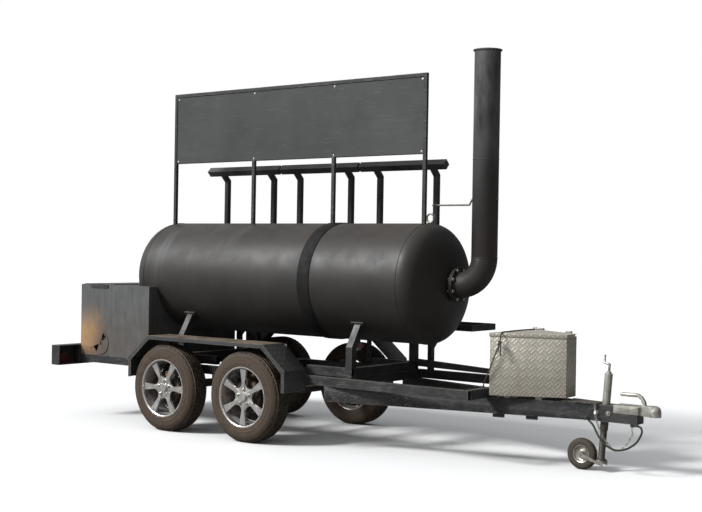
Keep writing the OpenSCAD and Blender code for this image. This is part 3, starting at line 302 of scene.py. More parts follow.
def chassis_finish(name="chassis black", dusty=0.55, base=None):
    f, p = Finish(name), paint()
    c = f.coords()
    base = base or p.chassis
    tone = f.mix(f.use("Patches", Scale=3.0, From=0.4, To=0.66), rgba(base, 0.75), rgba(base, 1.5))
    worn = f.math("MULTIPLY", f.use("Scratches", Scale=1.0, From=0.60, To=0.72), f.use("Patches", Scale=2.4, From=0.42, To=0.62))
    tone = f.mix(f.math("MULTIPLY", worn, 0.6), tone, rgba(p.bare, 0.6))
    chalk = f.use("Patches", Scale=55.0, From=0.52, To=0.70, Stretch=(0.35, 1.0, 1.0))
    tone = f.mix(f.math("MULTIPLY", chalk, 0.30), tone, rgba(p.bare, 0.45))
    tone = f.mix(f.use("Dust", Amount=dusty, Low=0.3, High=0.95), tone, rgba(p.dust, 0.62))
    splash = f.math("MULTIPLY", f.use("Patches", Scale=6.0, From=0.5, To=0.75), f.range(f.put("ShaderNodeSeparateXYZ", {0: c}).outputs[2], 0.55, 0.2))
    tone = f.mix(f.math("MULTIPLY", splash, 0.35), tone, rgba(p.dust, 0.5))
    tone = f.mix(f.use("Worn edges", Reach=0.006, From=0.02, To=0.2), tone, rgba(p.bare, 0.85))
    rough = f.range(f.noise(c, 14.0, 5.0), 0.3, 0.7, 0.40, 0.62)
    f.set(Base_Color=tone, Roughness=rough, Normal=f.bump(f.noise(c, 150.0, 4.0), 0.0006, 0.35))
    return f.material


def sign_finish():
    f, p = Finish("sign sheet"), paint()
    c = f.coords()
    tone = f.mix(f.use("Patches", Scale=1.3, From=0.35, To=0.7), rgba(p.sign, 0.82), rgba(p.sign, 1.18))
    wipe = f.use("Patches", Scale=2.6, From=0.52, To=0.72, Stretch=(0.3, 1.0, 2.2))
    tone = f.mix(f.math("MULTIPLY", wipe, 0.18), tone, rgba(p.chamber_scuff))
    tone = f.mix(f.math("MULTIPLY", f.use("Scratches", Scale=0.8, From=0.66, To=0.72), 0.16), tone, rgba(p.bare, 0.6))
    f.set(Base_Color=tone, Roughness=f.range(f.noise(c, 4.0, 4.0), 0.3, 0.7, 0.56, 0.72), Normal=f.bump(f.noise(c, 2.0, 2.0), 0.004, 0.3))
    return f.material


def firebox_finish():
    """Mill steel with run marks, blued patches and rust spreading from the draft hole."""
    f, p = Finish("firebox steel"), paint()
    c = f.coords()
    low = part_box("firebox")[0]
    xyz = f.put("ShaderNodeSeparateXYZ", {0: c})
    x, z = xyz.outputs[0], xyz.outputs[2]
    blued = f.range(z, low.z + 0.18, low.z + 0.44)
    base = f.mix(blued, rgba(p.firebox), (0.104, 0.107, 0.109, 1))
    mottle = f.use("Patches", Scale=30.0, From=0.36, To=0.66, Stretch=(1.0, 1.0, 0.14))
    base = f.mix(f.math("MULTIPLY", mottle, 0.45), base, (0.058, 0.052, 0.049, 1))
    base = f.mix(f.math("MULTIPLY", f.use("Patches", Scale=5.0, From=0.48, To=0.66), 0.35), base, (0.150, 0.148, 0.144, 1))
    drip = f.use("Patches", Scale=26.0, From=0.58, To=0.72, Stretch=(1.0, 1.0, 0.05))
    base = f.mix(f.math("MULTIPLY", drip, 0.30), base, (0.21, 0.205, 0.195, 1))
    wobble = f.math("MULTIPLY", f.math("SUBTRACT", f.noise(c, 5.0, 5.0), 0.5), 0.16)
    draft = sum(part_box("draft_disc"), Vector()) / 2
    away = f.put("ShaderNodeVectorMath", {0: c, 1: tuple(draft)}, operation="DISTANCE").outputs["Value"]
    ring = f.math("MULTIPLY", f.range(f.math("ADD", away, wobble), 0.16, 0.05), 0.70)
    base = f.mix(ring, base, (0.105, 0.066, 0.048, 1))
    beside = f.range(f.math("ADD", x, wobble), low.x + 0.30, low.x + 0.02)
    under = f.range(f.math("ADD", z, wobble), low.z + 0.42, low.z + 0.17)
    burnt = f.math("MULTIPLY", beside, under)
    foot = f.math("MULTIPLY", f.range(f.math("ADD", z, wobble), low.z + 0.10, low.z), 0.75)
    rust = f.mix(f.math("MULTIPLY", f.use("Patches", Scale=13.0, From=0.42, To=0.68), 0.45), rgba(p.heat_rust), (0.20, 0.105, 0.050, 1))
    rust = f.mix(foot, rust, (0.115, 0.060, 0.034, 1))
    base = f.mix(burnt, base, rust)
    base = f.mix(f.math("MULTIPLY", f.use("Worn edges", Reach=0.005), 0.6), base, (0.33, 0.31, 0.28, 1))
    base = f.mix(f.use("Dust", Amount=0.5), base, rgba(p.dust, 0.45))
    rough = f.math("ADD", f.range(f.noise(c, 12.0, 5.0), 0.3, 0.7, 0.50, 0.68), f.math("MULTIPLY", burnt, 0.18))
    f.set(Base_Color=base, Roughness=rough, Metallic=f.range(burnt, 0.0, 0.6, 0.25, 0.0), Normal=f.bump(f.noise(c, 70.0, 6.0), 0.0012, 0.4))
    return f.material


def grill_finish():
    f, p = Finish("seasoned iron"), paint()
    c = f.coords()
    tone = f.mix(f.use("Patches", Scale=13.0, From=0.4, To=0.64), (0.030, 0.022, 0.017, 1), (0.115, 0.068, 0.040, 1))
    tone = f.mix(f.math("MULTIPLY", f.use("Worn edges", Reach=0.003), 0.5), tone, rgba(p.bare, 0.6))
    f.set(Base_Color=tone, Roughness=f.range(f.noise(c, 30.0, 4.0), 0.3, 0.7, 0.42, 0.75), Metallic=0.3, Normal=f.bump(f.noise(c, 120.0, 5.0), 0.001, 0.5))
    return f.material


def fender_finish():
    """Dusty chequer plate: earth between the bars, bars rubbed darker, bright folded edge."""
    f, p = Finish("chequer plate"), paint()
    c = f.coords()
    height = f.use("Tread bars", "Height", Cell=0.034, Bars=3.0)
    tone = f.mix(f.use("Patches", Scale=4.0, From=0.4, To=0.66), (0.020, 0.020, 0.020, 1), (0.048, 0.045, 0.042, 1))
    earth = f.use("Dust", Amount=1.25, Low=0.80, High=0.97)
    earth = f.math("MULTIPLY", earth, f.range(height, 0.0, 1.0, 1.0, 0.38))
    tone = f.mix(f.math("MULTIPLY", height, 0.55), tone, rgba(p.bare, 0.5))
    tone = f.mix(earth, tone, rgba(p.dust, 1.15))
    tone = f.mix(f.use("Worn edges", Reach=0.006, From=0.02, To=0.2), tone, rgba(p.bare, 0.9))
    n = f.bump(height, 0.0022, 0.9, f.bump(f.noise(c, 90.0, 4.0), 0.0006, 0.4))
    f.set(Base_Color=tone, Roughness=f.range(earth, 0.0, 1.0, 0.45, 0.85), Normal=n)
    return f.material


def plate_finish():
    """Bright aluminium tread plate: painted shade in the flats between the raised bars, with water marks."""
    f, p = Finish("bright tread plate"), paint()
    c = f.coords()
    cell = bpy.context.scene.smoker_detail.plate_pitch
    height = f.use("Tread bars", "Height", Cell=cell, Bars=2.0)
    tone = f.mix(f.use("Patches", Scale=5.0, From=0.38, To=0.68), rgba(p.tread_plate, 0.86), rgba(p.tread_plate, 1.06))
    # painted shade: the flats between the raised bars are painted darker grey, so the bar tops read bright
    tone = f.mix(f.math("MULTIPLY", f.math("SUBTRACT", 1.0, height), 0.55), tone, (0.30, 0.283, 0.237, 1))
    tone = f.mix(f.math("MULTIPLY", f.use("Patches", Scale=9.0, From=0.52, To=0.70, Stretch=(1.0, 1.0, 0.3)), 0.35), tone, (0.36, 0.31, 0.24, 1))
    foot = f.math("MULTIPLY", f.range(f.put("ShaderNodeSeparateXYZ", {0: c}).outputs[2], 0.56, 0.42), f.use("Patches", Scale=14.0, From=0.35, To=0.7))
    tone = f.mix(f.math("MULTIPLY", foot, 0.25), tone, rgba(p.dust, 1.3))
    rough = f.range(f.noise(c, 22.0, 5.0), 0.3, 0.7, 0.44, 0.58)
    n = f.bump(height, 0.0012, 0.7, f.bump(f.noise(c, 8.0, 3.0), 0.003, 0.25))
    f.set(Base_Color=tone, Roughness=f.math("ADD", rough, f.math("MULTIPLY", foot, 0.2)), Metallic=f.range(foot, 0.0, 1.0, 0.45, 0.2), Normal=n)
    return f.material


def tyre_finish():
    """Rubber with dried earth: thick on the sidewall, rubbed off the tread blocks."""
    f, p = Finish("dusty tyre"), paint()
    c = f.coords()
    uv = f.put("ShaderNodeUVMap", uv_map="plate").outputs[0]
    r = f.put("ShaderNodeSeparateXYZ", {0: uv})
    wall = f.range(r.outputs[0], 0.303, 0.285)
    earth = f.range(f.noise(c, 17.0, 7.0, 0.65), 0.28, 0.68, 0.25, 1.0)
    fine = f.range(f.noise(c, 130.0, 4.0), 0.3, 0.7, 0.6, 1.0)
    cover = f.math("MULTIPLY", f.math("MULTIPLY", earth, fine), f.math("ADD", f.math("MULTIPLY", wall, 0.50), 0.20))
    tone = f.mix(cover, rgba(p.rubber), (0.122, 0.074, 0.040, 1))
    for groove in (0.2350, 0.2690):
        near = f.range(f.math("ABSOLUTE", f.math("SUBTRACT", r.outputs[0], groove)), 0.0055, 0.001, 0.0, 0.65)
        tone = f.mix(near, tone, rgba(p.rubber))
    rings = f.math("SINE", f.math("MULTIPLY", r.outputs[0], 1500.0))
    tone = f.mix(f.math("MULTIPLY", f.use("Worn edges", Reach=0.004, From=0.01, To=0.3), 0.85), tone, (0.40, 0.28, 0.165, 1))
    n = f.bump(f.math("MULTIPLY", rings, wall), 0.0004, 0.25, f.bump(f.noise(c, 160.0, 4.0), 0.0008, 0.4))
    f.set(Base_Color=tone, Roughness=f.range(cover, 0.0, 0.6, 0.62, 0.90), Normal=n)
    return f.material


def alloy_finish():
    f, p = Finish("wheel alloy"), paint()
    c = f.coords()
    grime = f.use("Patches", Scale=24.0, From=0.38, To=0.72)
    r = f.put("ShaderNodeSeparateXYZ", {0: f.put("ShaderNodeUVMap", uv_map="plate").outputs[0]})
    # painted shade: the barrel and the gaps between the spokes are painted near-black and less metallic the deeper they
    # lie behind the rim's face, in patches
    barrel_shade = f.range(r.outputs[1], 0.024, 0.050)
    tone = f.mix(f.math("MULTIPLY", grime, 0.22), rgba(p.alloy), (0.42, 0.34, 0.25, 1))
    tone = f.mix(f.math("MULTIPLY", barrel_shade, f.math("ADD", f.math("MULTIPLY", grime, 0.4), 0.5), clamp=True), tone, (0.020, 0.016, 0.013, 1))
    f.set(Base_Color=tone, Roughness=f.range(grime, 0.0, 1.0, 0.24, 0.46), Metallic=f.range(barrel_shade, 0.0, 1.0, 0.88, 0.05), Normal=f.bump(f.noise(c, 200.0, 3.0), 0.0003, 0.3))
    return f.material


def rusty_finish(name="rusted drum", light=(0.30, 0.150, 0.066, 1), dark=(0.016, 0.012, 0.010, 1), low=0.53, high=0.66):
    f = Finish(name)
    c = f.coords()
    tone = f.mix(f.use("Patches", Scale=19.0, From=low, To=high), dark, light)
    tone = f.mix(f.math("MULTIPLY", f.use("Patches", Scale=70.0, From=0.5, To=0.7), 0.4), tone, dark)
    f.set(Base_Color=tone, Roughness=f.range(f.noise(c, 40.0, 4.0), 0.3, 0.7, 0.6, 0.9), Normal=f.bump(f.noise(c, 140.0, 6.0), 0.0015, 0.6))
    return f.material


def zinc_finish(name="dull zinc", tint=1.0, dull=0.35, metal=0.85, shade_below=None):
    f, p = Finish(name), paint()
    c = f.coords()
    tone = f.mix(f.use("Patches", Scale=28.0, From=0.38, To=0.66), rgba(p.zinc, 0.78 * tint), rgba(p.zinc, 1.10 * tint))
    tone = f.mix(f.math("MULTIPLY", f.use("Patches", Scale=17.0, From=0.52, To=0.70), dull), tone, (0.20, 0.145, 0.085, 1))
    tone = f.mix(f.math("MULTIPLY", f.use("Worn edges", Reach=0.003), 0.5), tone, (0.80, 0.79, 0.75, 1))
    tone = f.mix(f.math("MULTIPLY", f.use("Scratches", Scale=2.2), 0.4), tone, (0.13, 0.115, 0.09, 1))
    # painted shade: below the given height, under the drawbar nose, the mast is painted dark
    if shade_below:
        z = f.put("ShaderNodeSeparateXYZ", {0: c}).outputs[2]
        tone = f.mix(f.range(z, shade_below, shade_below - 0.02, 0.0, 0.85), tone, (0.040, 0.034, 0.027, 1))
    rough = f.range(f.noise(c, 50.0, 4.0), 0.3, 0.7, 0.30, 0.52)
    f.set(Base_Color=tone, Roughness=rough, Metallic=metal, Normal=f.bump(f.noise(c, 180.0, 4.0), 0.0005, 0.35))
    return f.material


def shelf_finish():
    """Smoke-stained boards: grain along the trailer, dark soak marks."""
    f = Finish("stained boards")
    c = f.coords()
    grain = f.noise(f.stretched(c, (1.2, 60.0, 60.0)), 1.0, 8.0, 0.65, 0.6)
    tone = f.mix(f.range(grain, 0.32, 0.68), (0.040, 0.020, 0.013, 1), (0.155, 0.082, 0.048, 1))
    tone = f.mix(f.math("MULTIPLY", f.use("Patches", Scale=3.5, From=0.48, To=0.66), 0.6), tone, (0.022, 0.014, 0.010, 1))
    tone = f.mix(f.math("MULTIPLY", f.use("Worn edges", Reach=0.004), 0.5), tone, (0.25, 0.16, 0.10, 1))
    f.set(Base_Color=tone, Roughness=f.range(grain, 0.3, 0.7, 0.62, 0.82), Normal=f.bump(grain, 0.0015, 0.6))
    return f.material


def cord_finish(name, dark, light, pitch, twist):
    """A laid rope or wound sheath: slanting strands on the cord's own length and turn."""
    f = Finish(name)
    xyz = f.put("ShaderNodeSeparateXYZ", {0: f.put("ShaderNodeUVMap", uv_map="plate").outputs[0]})
    lay = f.math("SINE", f.math("ADD", f.math("MULTIPLY", xyz.outputs[0], 2 * math.pi / pitch), f.math("MULTIPLY", xyz.outputs[1], 2 * math.pi * twist)))
    strand = f.range(lay, -0.8, 0.9)
    c = f.coords()
    fuzz = f.noise(c, 240.0, 4.0)
    tone = f.mix(f.math("MULTIPLY", strand, f.range(fuzz, 0.3, 0.7, 0.55, 1.0)), dark, light)
    tone = f.mix(f.math("MULTIPLY", f.use("Patches", Scale=22.0, From=0.45, To=0.7), 0.45), tone, dark)
    f.set(Base_Color=tone, Roughness=0.82, Normal=f.bump(strand, 0.0008, 0.8, f.bump(fuzz, 0.0006, 0.5)))
    return f.material


def lamp_finish():
    f, p = Finish("lamp lens"), paint()
    c = f.coords()
    cells = f.put("ShaderNodeTexVoronoi", {"Vector": c, "Scale": 150.0}, feature="F1").outputs["Distance"]
    tone = f.mix(f.use("Patches", Scale=20.0, From=0.4, To=0.7), (0.075, 0.006, 0.005, 1), (0.035, 0.004, 0.004, 1))
    tone = f.mix(f.use("Dust", Amount=0.8, Low=-0.2, High=0.9), tone, rgba(p.dust, 0.5))
    f.set(Base_Color=tone, Roughness=f.range(f.noise(c, 30.0, 3.0), 0.3, 0.7, 0.18, 0.4), Normal=f.bump(cells, 0.001, 0.5), Coat_Weight=0.3)
    return f.material


def lever_finish():
    f, p = Finish("chipped red"), paint()
    c = f.coords()
    chips = f.math("MAXIMUM", f.use("Worn edges", Reach=0.003), f.use("Patches", Scale=80.0, From=0.60, To=0.64))
    tone = f.mix(f.use("Patches", Scale=15.0, From=0.4, To=0.7), (0.16, 0.022, 0.018, 1), (0.09, 0.016, 0.014, 1))
    tone = f.mix(chips, tone, rgba(p.bare, 0.7))
    f.set(Base_Color=tone, Roughness=f.range(f.noise(c, 60.0, 3.0), 0.3, 0.7, 0.35, 0.6), Metallic=f.math("MULTIPLY", chips, 0.7), Normal=f.bump(chips, -0.0004, 0.6))
    return f.material


def small_tyre_finish():
    f, p = Finish("solid rubber"), paint()
    c = f.coords()
    cover = f.math("MULTIPLY", f.range(f.noise(c, 40.0, 6.0), 0.3, 0.7), 0.45)
    tone = f.mix(cover, (0.024, 0.021, 0.019, 1), rgba(p.dust, 0.55))
    tone = f.mix(f.math("MULTIPLY", f.use("Worn edges", Reach=0.003), 0.5), tone, rgba(p.dust, 0.9))
    f.set(Base_Color=tone, Roughness=f.range(cover, 0.0, 0.45, 0.6, 0.88), Normal=f.bump(f.noise(c, 170.0, 5.0), 0.0009, 0.5))
    return f.material


def build_materials():
    build_groups()
    p = paint()
    MATERIALS.update({
        "sooty_black": chamber_finish(),
        "band_black": band_finish(),
        "black_steel": chassis_finish(),
        "axle_steel": chassis_finish("dusty axle", 0.9, (0.050, 0.038, 0.028)),
        "chequer_plate": fender_finish(),
        "scorched_steel": firebox_finish(),
        "scorched_black": chassis_finish("scorched black", 0.25, (0.030, 0.024, 0.022)),
        "seasoned": grill_finish(),
        "sign_grey": sign_finish(),
        "tread_plate": plate_finish(),
        "tyre_rubber": tyre_finish(),
        "alloy": alloy_finish(),
        "drum": rusty_finish(),
        "galvanised": zinc_finish(),
        "bright_zinc": zinc_finish("bright zinc", 1.18, 0.20, 0.75),
        "damper_rod": zinc_finish("sooty rod", 0.50, 0.6, 0.7),
        "mast_zinc": zinc_finish("greasy zinc", 0.78, 0.45, 0.45),
        "jockey_zinc": zinc_finish("jockey mast", 0.84, 0.45, 0.40, 0.315),
        "lamp_red": lamp_finish(),
        "small_wheel_rubber": small_tyre_finish(),
        "cable_sheath": cord_finish("cable sheath", (0.014, 0.014, 0.013, 1), (0.06, 0.055, 0.045, 1), 0.006, 1.0),
        "rope_fibre": cord_finish("rope fibre", (0.014, 0.012, 0.010, 1), (0.105, 0.085, 0.060, 1), 0.012, 1.0),
        "shelf_boards": shelf_finish(),
        "lever_red": lever_finish(),
    })


# ---------------------------------------------------------------- mesh helpers
def from_node(node):
    """The merged copy of a CAD node, flat faces joined up again."""
    bm = bmesh.new()
    bm.from_mesh(frame["nodes"][node].data)
    bmesh.ops.remove_doubles(bm, verts=bm.verts, dist=2e-5)
    bmesh.ops.dissolve_degenerate(bm, edges=bm.edges, dist=1e-6)
    bmesh.ops.dissolve_limit(bm, angle_limit=math.radians(0.8), verts=bm.verts, edges=bm.edges)
    return bm


def sharp_edges(bm, low=50.0):
    return [e for e in bm.edges if len(e.link_faces) == 2 and e.calc_face_angle(0.0) > math.radians(low)]


def soften(bm, size, low=50.0, segments=2):
    """Rounds the hard edges a little."""
    edges = sharp_edges(bm, low)
    if edges:
        bmesh.ops.bevel(bm, geom=edges, offset=size, offset_type="OFFSET", segments=segments, profile=0.5, affect="EDGES", clamp_overlap=True, material=-1)


def unwrap_flat(bm):
    """Lays each face on its own plane, in metres, level with the ground where it can be."""
    layer = bm.loops.layers.uv.new("plate")
    for face in bm.faces:
        n = face.normal
        across = Vector((1, 0, 0)) if abs(n.z) > 0.9 else Vector((0, 0, 1)).cross(n).normalized()
        if abs(n.z) > 0.9:
            along = Vector((0, 1, 0))
        else:
            along = n.cross(across)
        for loop in face.loops:
            loop[layer].uv = (loop.vert.co.dot(across), loop.vert.co.dot(along))


def unwrap_round(bm, centre, outer):
    """Radius from the axle, and depth behind the wheel's outer face, in metres."""
    layer = bm.loops.layers.uv.new("plate")
    for face in bm.faces:
        for loop in face.loops:
            v = loop.vert.co - centre
            loop[layer].uv = (math.hypot(v.x, v.z), abs(outer - loop.vert.co.y))


def finish_piece(bm, name, body, materials, node=None, smooth=35.0):
    """Turns a bmesh into a piece of the object that rides on its body."""
    for face in bm.faces:
        turns = [e.calc_face_angle(3.0) for e in face.edges if len(e.link_faces) == 2]
        face.smooth = any(0.001 < t < math.radians(20) for t in turns)
    for edge in bm.edges:
        edge.smooth = not (len(edge.link_faces) == 2 and edge.calc_face_angle(0.0) > math.radians(smooth))
    mesh = bpy.data.meshes.new(name)
    bm.to_mesh(mesh)
    bm.free()
    for m in materials if isinstance(materials, (list, tuple)) else [materials]:
        mesh.materials.append(MATERIALS[m])
    piece = bpy.data.objects.new(name, mesh)
    bpy.context.scene.collection.objects.link(piece)
    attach(piece, body)
    if node:
        nodes = [node] if isinstance(node, str) else node
        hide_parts(*nodes)
    return piece


def dress(node, material=None, rounding=None, plates=False, low=50.0, segments=2, extra=None):
    """A finer copy of a CAD node in its finish."""
    bm = from_node(node)
    if rounding is None:
        rounding = bpy.context.scene.smoker_detail.edge_round
    if rounding:
        soften(bm, rounding, low, segments)
    if extra:
        extra(bm)
    if plates:
        unwrap_flat(bm)
    return finish_piece(bm, node + "_skin", BODY[node], material or SLOT[node], node)


def tube_along(bm, points, radius, sides, start_turn=0.0, turns=0.0, uv=None, offset=0.0, closed_ends=True):
    """Sweeps a ring along points; offset and turns lay it as one strand of a rope."""
    count = len(points)
    up = Vector((0.3, 1, 0.1))
    rings, run = [], 0.0
    for k, p in enumerate(points):
        t = (points[min(k + 1, count - 1)] - points[max(k - 1, 0)]).normalized()
        up = (up - t * up.dot(t)).normalized()
        side = t.cross(up)
        a = start_turn + turns * k / (count - 1) * 2 * math.pi
        c = p + (up * math.cos(a) + side * math.sin(a)) * offset
        run += (p - points[k - 1]).length if k else 0.0
        rings.append(([bm.verts.new(c + (up * math.cos(2 * math.pi * j / sides) + side * math.sin(2 * math.pi * j / sides)) * radius) for j in range(sides)], run))
    for (a, ra), (b, rb) in zip(rings, rings[1:]):
        for j in range(sides):
            k = (j + 1) % sides
            face = bm.faces.new((a[j], a[k], b[k], b[j]))
            if uv:
                for loop, value in zip(face.loops, ((ra, j), (ra, j + 1), (rb, j + 1), (rb, j))):
                    loop[uv].uv = (value[0], value[1] / sides)
    if closed_ends:
        bm.faces.new(list(reversed(rings[0][0])))
        bm.faces.new(rings[-1][0])


def curve_through(points, steps):
    """The route through its points, as the CAD tube takes it."""
    out = []
    for k in range(len(points) - 1):
        a, b = points[max(k - 1, 0)], points[k]
        c, d = points[k + 1], points[min(k + 2, len(points) - 1)]
        for s in range(steps):
            t = s / steps
            out.append(0.5 * (2 * b + (c - a) * t + (2 * a - 5 * b + 4 * c - d) * t * t + (3 * b - a - 3 * c + d) * t ** 3))
    return out + [points[-1]]


def route_length(points):
    return sum((b - a).length for a, b in zip(points, points[1:]))


def spun(bm, profile, centre, axis="Y", steps=96):
    """Spins (radius, along) points round an axis through centre."""
    way = Vector({"X": (1, 0, 0), "Y": (0, 1, 0), "Z": (0, 0, 1)}[axis])
    out = Vector((0, 0, 1)) if axis != "Z" else Vector((1, 0, 0))
    verts = [bm.verts.new(centre + out * r + way * a) for r, a in profile]
    edges = [bm.edges.new((p, q)) for p, q in zip(verts, verts[1:] + verts[:1])]
    bmesh.ops.spin(bm, geom=verts + edges, cent=centre, axis=way, angle=2 * math.pi, steps=steps, use_merge=True, use_duplicate=False)
    bmesh.ops.remove_doubles(bm, verts=bm.verts, dist=1e-6)


def outward(bm):
    bmesh.ops.recalc_face_normals(bm, faces=bm.faces)


# ---------------------------------------------------------------- wheels
TYRE = ((0.1955, -0.0765), (0.207, -0.0785), (0.214, -0.0815), (0.226, -0.0815), (0.2275, -0.0835), (0.234, -0.0842), (0.2355, -0.0826),
        (0.250, -0.0820), (0.268, -0.0800), (0.283, -0.0745), (0.2925, -0.0660), (0.2985, -0.0560), (0.2990, -0.0360), (0.2990, -0.0330), (0.2990, -0.0125),
        (0.2990, -0.0095), (0.2990, 0.0095), (0.2990, 0.0125), (0.2990, 0.0330), (0.2990, 0.0360), (0.2985, 0.0560), (0.2925, 0.0660),
        (0.283, 0.0745), (0.268, 0.0800), (0.250, 0.0820), (0.214, 0.0815), (0.207, 0.0785), (0.1955, 0.0765), (0.1955, 0.060), (0.215, 0.066),
        (0.250, 0.071), (0.272, 0.064), (0.284, 0.050), (0.284, -0.050), (0.272, -0.064), (0.250, -0.071), (0.215, -0.066), (0.1955, -0.060))


# radius, and half the spoke's width there as a share of its waist setting
SPOKE_SIDE = ((0.078, 0.78), (0.092, 0.50), (0.114, 0.38), (0.140, 0.36), (0.164, 0.44), (0.179, 0.60), (0.1875, 0.90))


def tyre_mesh(centre, facing, steps, depth):
    """A tyre with ribs of tread blocks and notched shoulders; facing is -1 for the near side."""
    bm = bmesh.new()
    spun(bm, [(r, a * -facing) for r, a in TYRE], centre, "Y", steps)
    outward(bm)

    def radius(v):
        return math.hypot(v.x - centre.x, v.z - centre.z)

    def across(f):
        return abs(f.calc_center_median().y - centre.y)

    blocks = [f for f in bm.faces if all(radius(v.co) > 0.2980 for v in f.verts) and f.calc_area() > 1.6e-4]
    bmesh.ops.inset_individual(bm, faces=blocks, thickness=0.0021, depth=depth, use_even_offset=True)
    shoulder = [f for f in bm.faces if 0.055 < across(f) < 0.067 and radius(f.calc_center_median()) > 0.290 and len(f.verts) == 4 and f.calc_area() > 1.4e-4]
    notched = [f for f in shoulder if int(round((math.atan2(f.calc_center_median().z - centre.z, f.calc_center_median().x - centre.x) / (2 * math.pi) + 1) * steps - 0.5)) % 2]
    bmesh.ops.inset_individual(bm, faces=notched, thickness=0.0022, depth=-0.0035, use_even_offset=True)
    lean = 0.030
    for v in bm.verts:
        if radius(v.co) > 0.2975:
            angle = lean * math.cos(abs(v.co.y - centre.y) * 52.0)
            v.co = Matrix.Rotation(angle, 3, "Y") @ (v.co - centre) + centre
    unwrap_round(bm, centre, centre.y + facing * 0.0825)
    return bm


def rim_mesh(centre, facing, turn, spokes, waist):
    """An alloy rim: lipped barrel, dished spokes with a hub, cap and nuts."""
    bm = bmesh.new()
    face = 0.0825
    barrel = ((0.1955, -0.0765), (0.2045, -0.0790), (0.2050, -0.0810), (0.1985, -0.0812), (0.1925, -0.0770), (0.1880, -0.0640), (0.1840, -0.0400),
              (0.1770, -0.0180), (0.1770, 0.0500), (0.1900, 0.0740), (0.1955, 0.0765), (0.1955, 0.0560), (0.1830, 0.0440), (0.1830, -0.0120), (0.1930, -0.0420), (0.1955, -0.0600))
    spun(bm, [(r, a * -facing) for r, a in barrel], centre, "Y", 96)
    # the star of hub and spokes, as one outline drawn flat and pulled back
    outline = []
    for k in range(spokes):
        a = 2 * math.pi * k / spokes + turn
        half = math.pi / spokes
        for r, w in SPOKE_SIDE:
            outline.append((r, a - math.atan2(w * waist, r)))
        for r, w in reversed(SPOKE_SIDE):
            outline.append((r, a + math.atan2(w * waist, r)))
        outline.append((0.070, a + half))
    verts = [bm.verts.new(centre + Vector((r * math.cos(a), 0, r * math.sin(a)))) for r, a in outline]
    star = bm.faces.new(verts)
    bmesh.ops.inset_region(bm, faces=[star], thickness=0.006, depth=0.0)
    bmesh.ops.poke(bm, faces=[star])
    plate = [f for f in bm.faces if all(abs(v.co.y - centre.y) < 1e-6 for v in f.verts)]
    grown = bmesh.ops.extrude_face_region(bm, geom=plate)
    back = [v for v in grown["geom"] if isinstance(v, bmesh.types.BMVert)]
    bmesh.ops.translate(bm, verts=back, vec=Vector((0, -facing * 0.020, 0)))
    star_verts = {v for f in plate for v in f.verts} | set(back)
    rim_line = set(verts)
    for v in star_verts:
        r = math.hypot(v.co.x - centre.x, v.co.z - centre.z)
        dish = 0.017 - 0.012 * min(1.0, max(0.0, (r - 0.06) / 0.13)) ** 0.7
        sunk = 0.005 if v in rim_line else 0.0
        v.co.y += facing * (face - dish - sunk - 0.003)
    outward(bm)
    # hub boss, cap and nuts
    way = Vector((0, facing, 0))
    hub = [(0.0001, 0.004), (0.027, 0.004), (0.031, 0.000), (0.032, -0.018), (0.0001, -0.018)]
    spun(bm, [(r, (a + face - 0.010) * facing) for r, a in hub], centre, "Y", 48)
    for k in range(5):
        a = 2 * math.pi * k / 5 + math.pi / 2
        spot = centre + Vector((0.050 * math.cos(a), facing * (face - 0.012), 0.050 * math.sin(a)))
        turned = Matrix.Translation(spot) @ way.to_track_quat("Z", "Y").to_matrix().to_4x4()
        bmesh.ops.create_cone(bm, cap_ends=True, segments=6, radius1=0.0095, radius2=0.0085, depth=0.016, matrix=turned)
        bmesh.ops.create_cone(bm, cap_ends=True, segments=16, radius1=0.0150, radius2=0.0125, depth=0.006, matrix=Matrix.Translation(-way * 0.006) @ turned)
    a = turn + math.pi / spokes
    stem = centre + Vector((0.182 * math.cos(a), facing * 0.060, 0.182 * math.sin(a)))
    bmesh.ops.create_cone(bm, cap_ends=True, segments=10, radius1=0.0050, radius2=0.0040, depth=0.030, matrix=Matrix.Translation(stem) @ way.to_track_quat("Z", "Y").to_matrix().to_4x4())
    outward(bm)
    unwrap_round(bm, centre, centre.y + facing * face)
    return bm


def drum_mesh(centre, facing):
    """Brake drum and backing plate behind the spokes."""
    bm = bmesh.new()
    drum = [(0.0001, 0.030), (0.055, 0.030), (0.060, 0.026), (0.110, 0.022), (0.115, 0.016), (0.116, -0.040), (0.160, -0.044), (0.168, -0.047), (0.160, -0.050), (0.0001, -0.050)]
    spun(bm, [(r, a * facing) for r, a in drum], centre, "Y", 64)
    outward(bm)
    unwrap_round(bm, centre, centre.y)
    return bm


class SMOKER_OT_wheels(bpy.types.Operator):
    """Build the four road wheels: tyres with tread, alloy rims and brake drums"""

    bl_idname = "smoker.wheels"
    bl_label = "Road wheels"

    def execute(self, context):
        s = context.scene.smoker_wheels
        for name in WHEELS:
            facing = -1 if name.endswith("near") else 1
            low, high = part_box("tyre_" + name)
            centre = (low + high) / 2
            body = BODY["tyre_" + name]
            bm = tyre_mesh(centre, facing, s.tread_pitches, s.tread_depth)
            finish_piece(bm, "tread_" + name, body, "tyre_rubber", "tyre_" + name, 40.0)
            turn = 0.0 if name.startswith("rear") else math.radians(30)
            bm = rim_mesh(centre, facing, turn, s.spokes, s.spoke_width)
            finish_piece(bm, "alloy_" + name, body, "alloy", "rim_" + name, 32.0)
            finish_piece(drum_mesh(centre, facing), "drum_" + name, body, "drum")
        return {"FINISHED"}


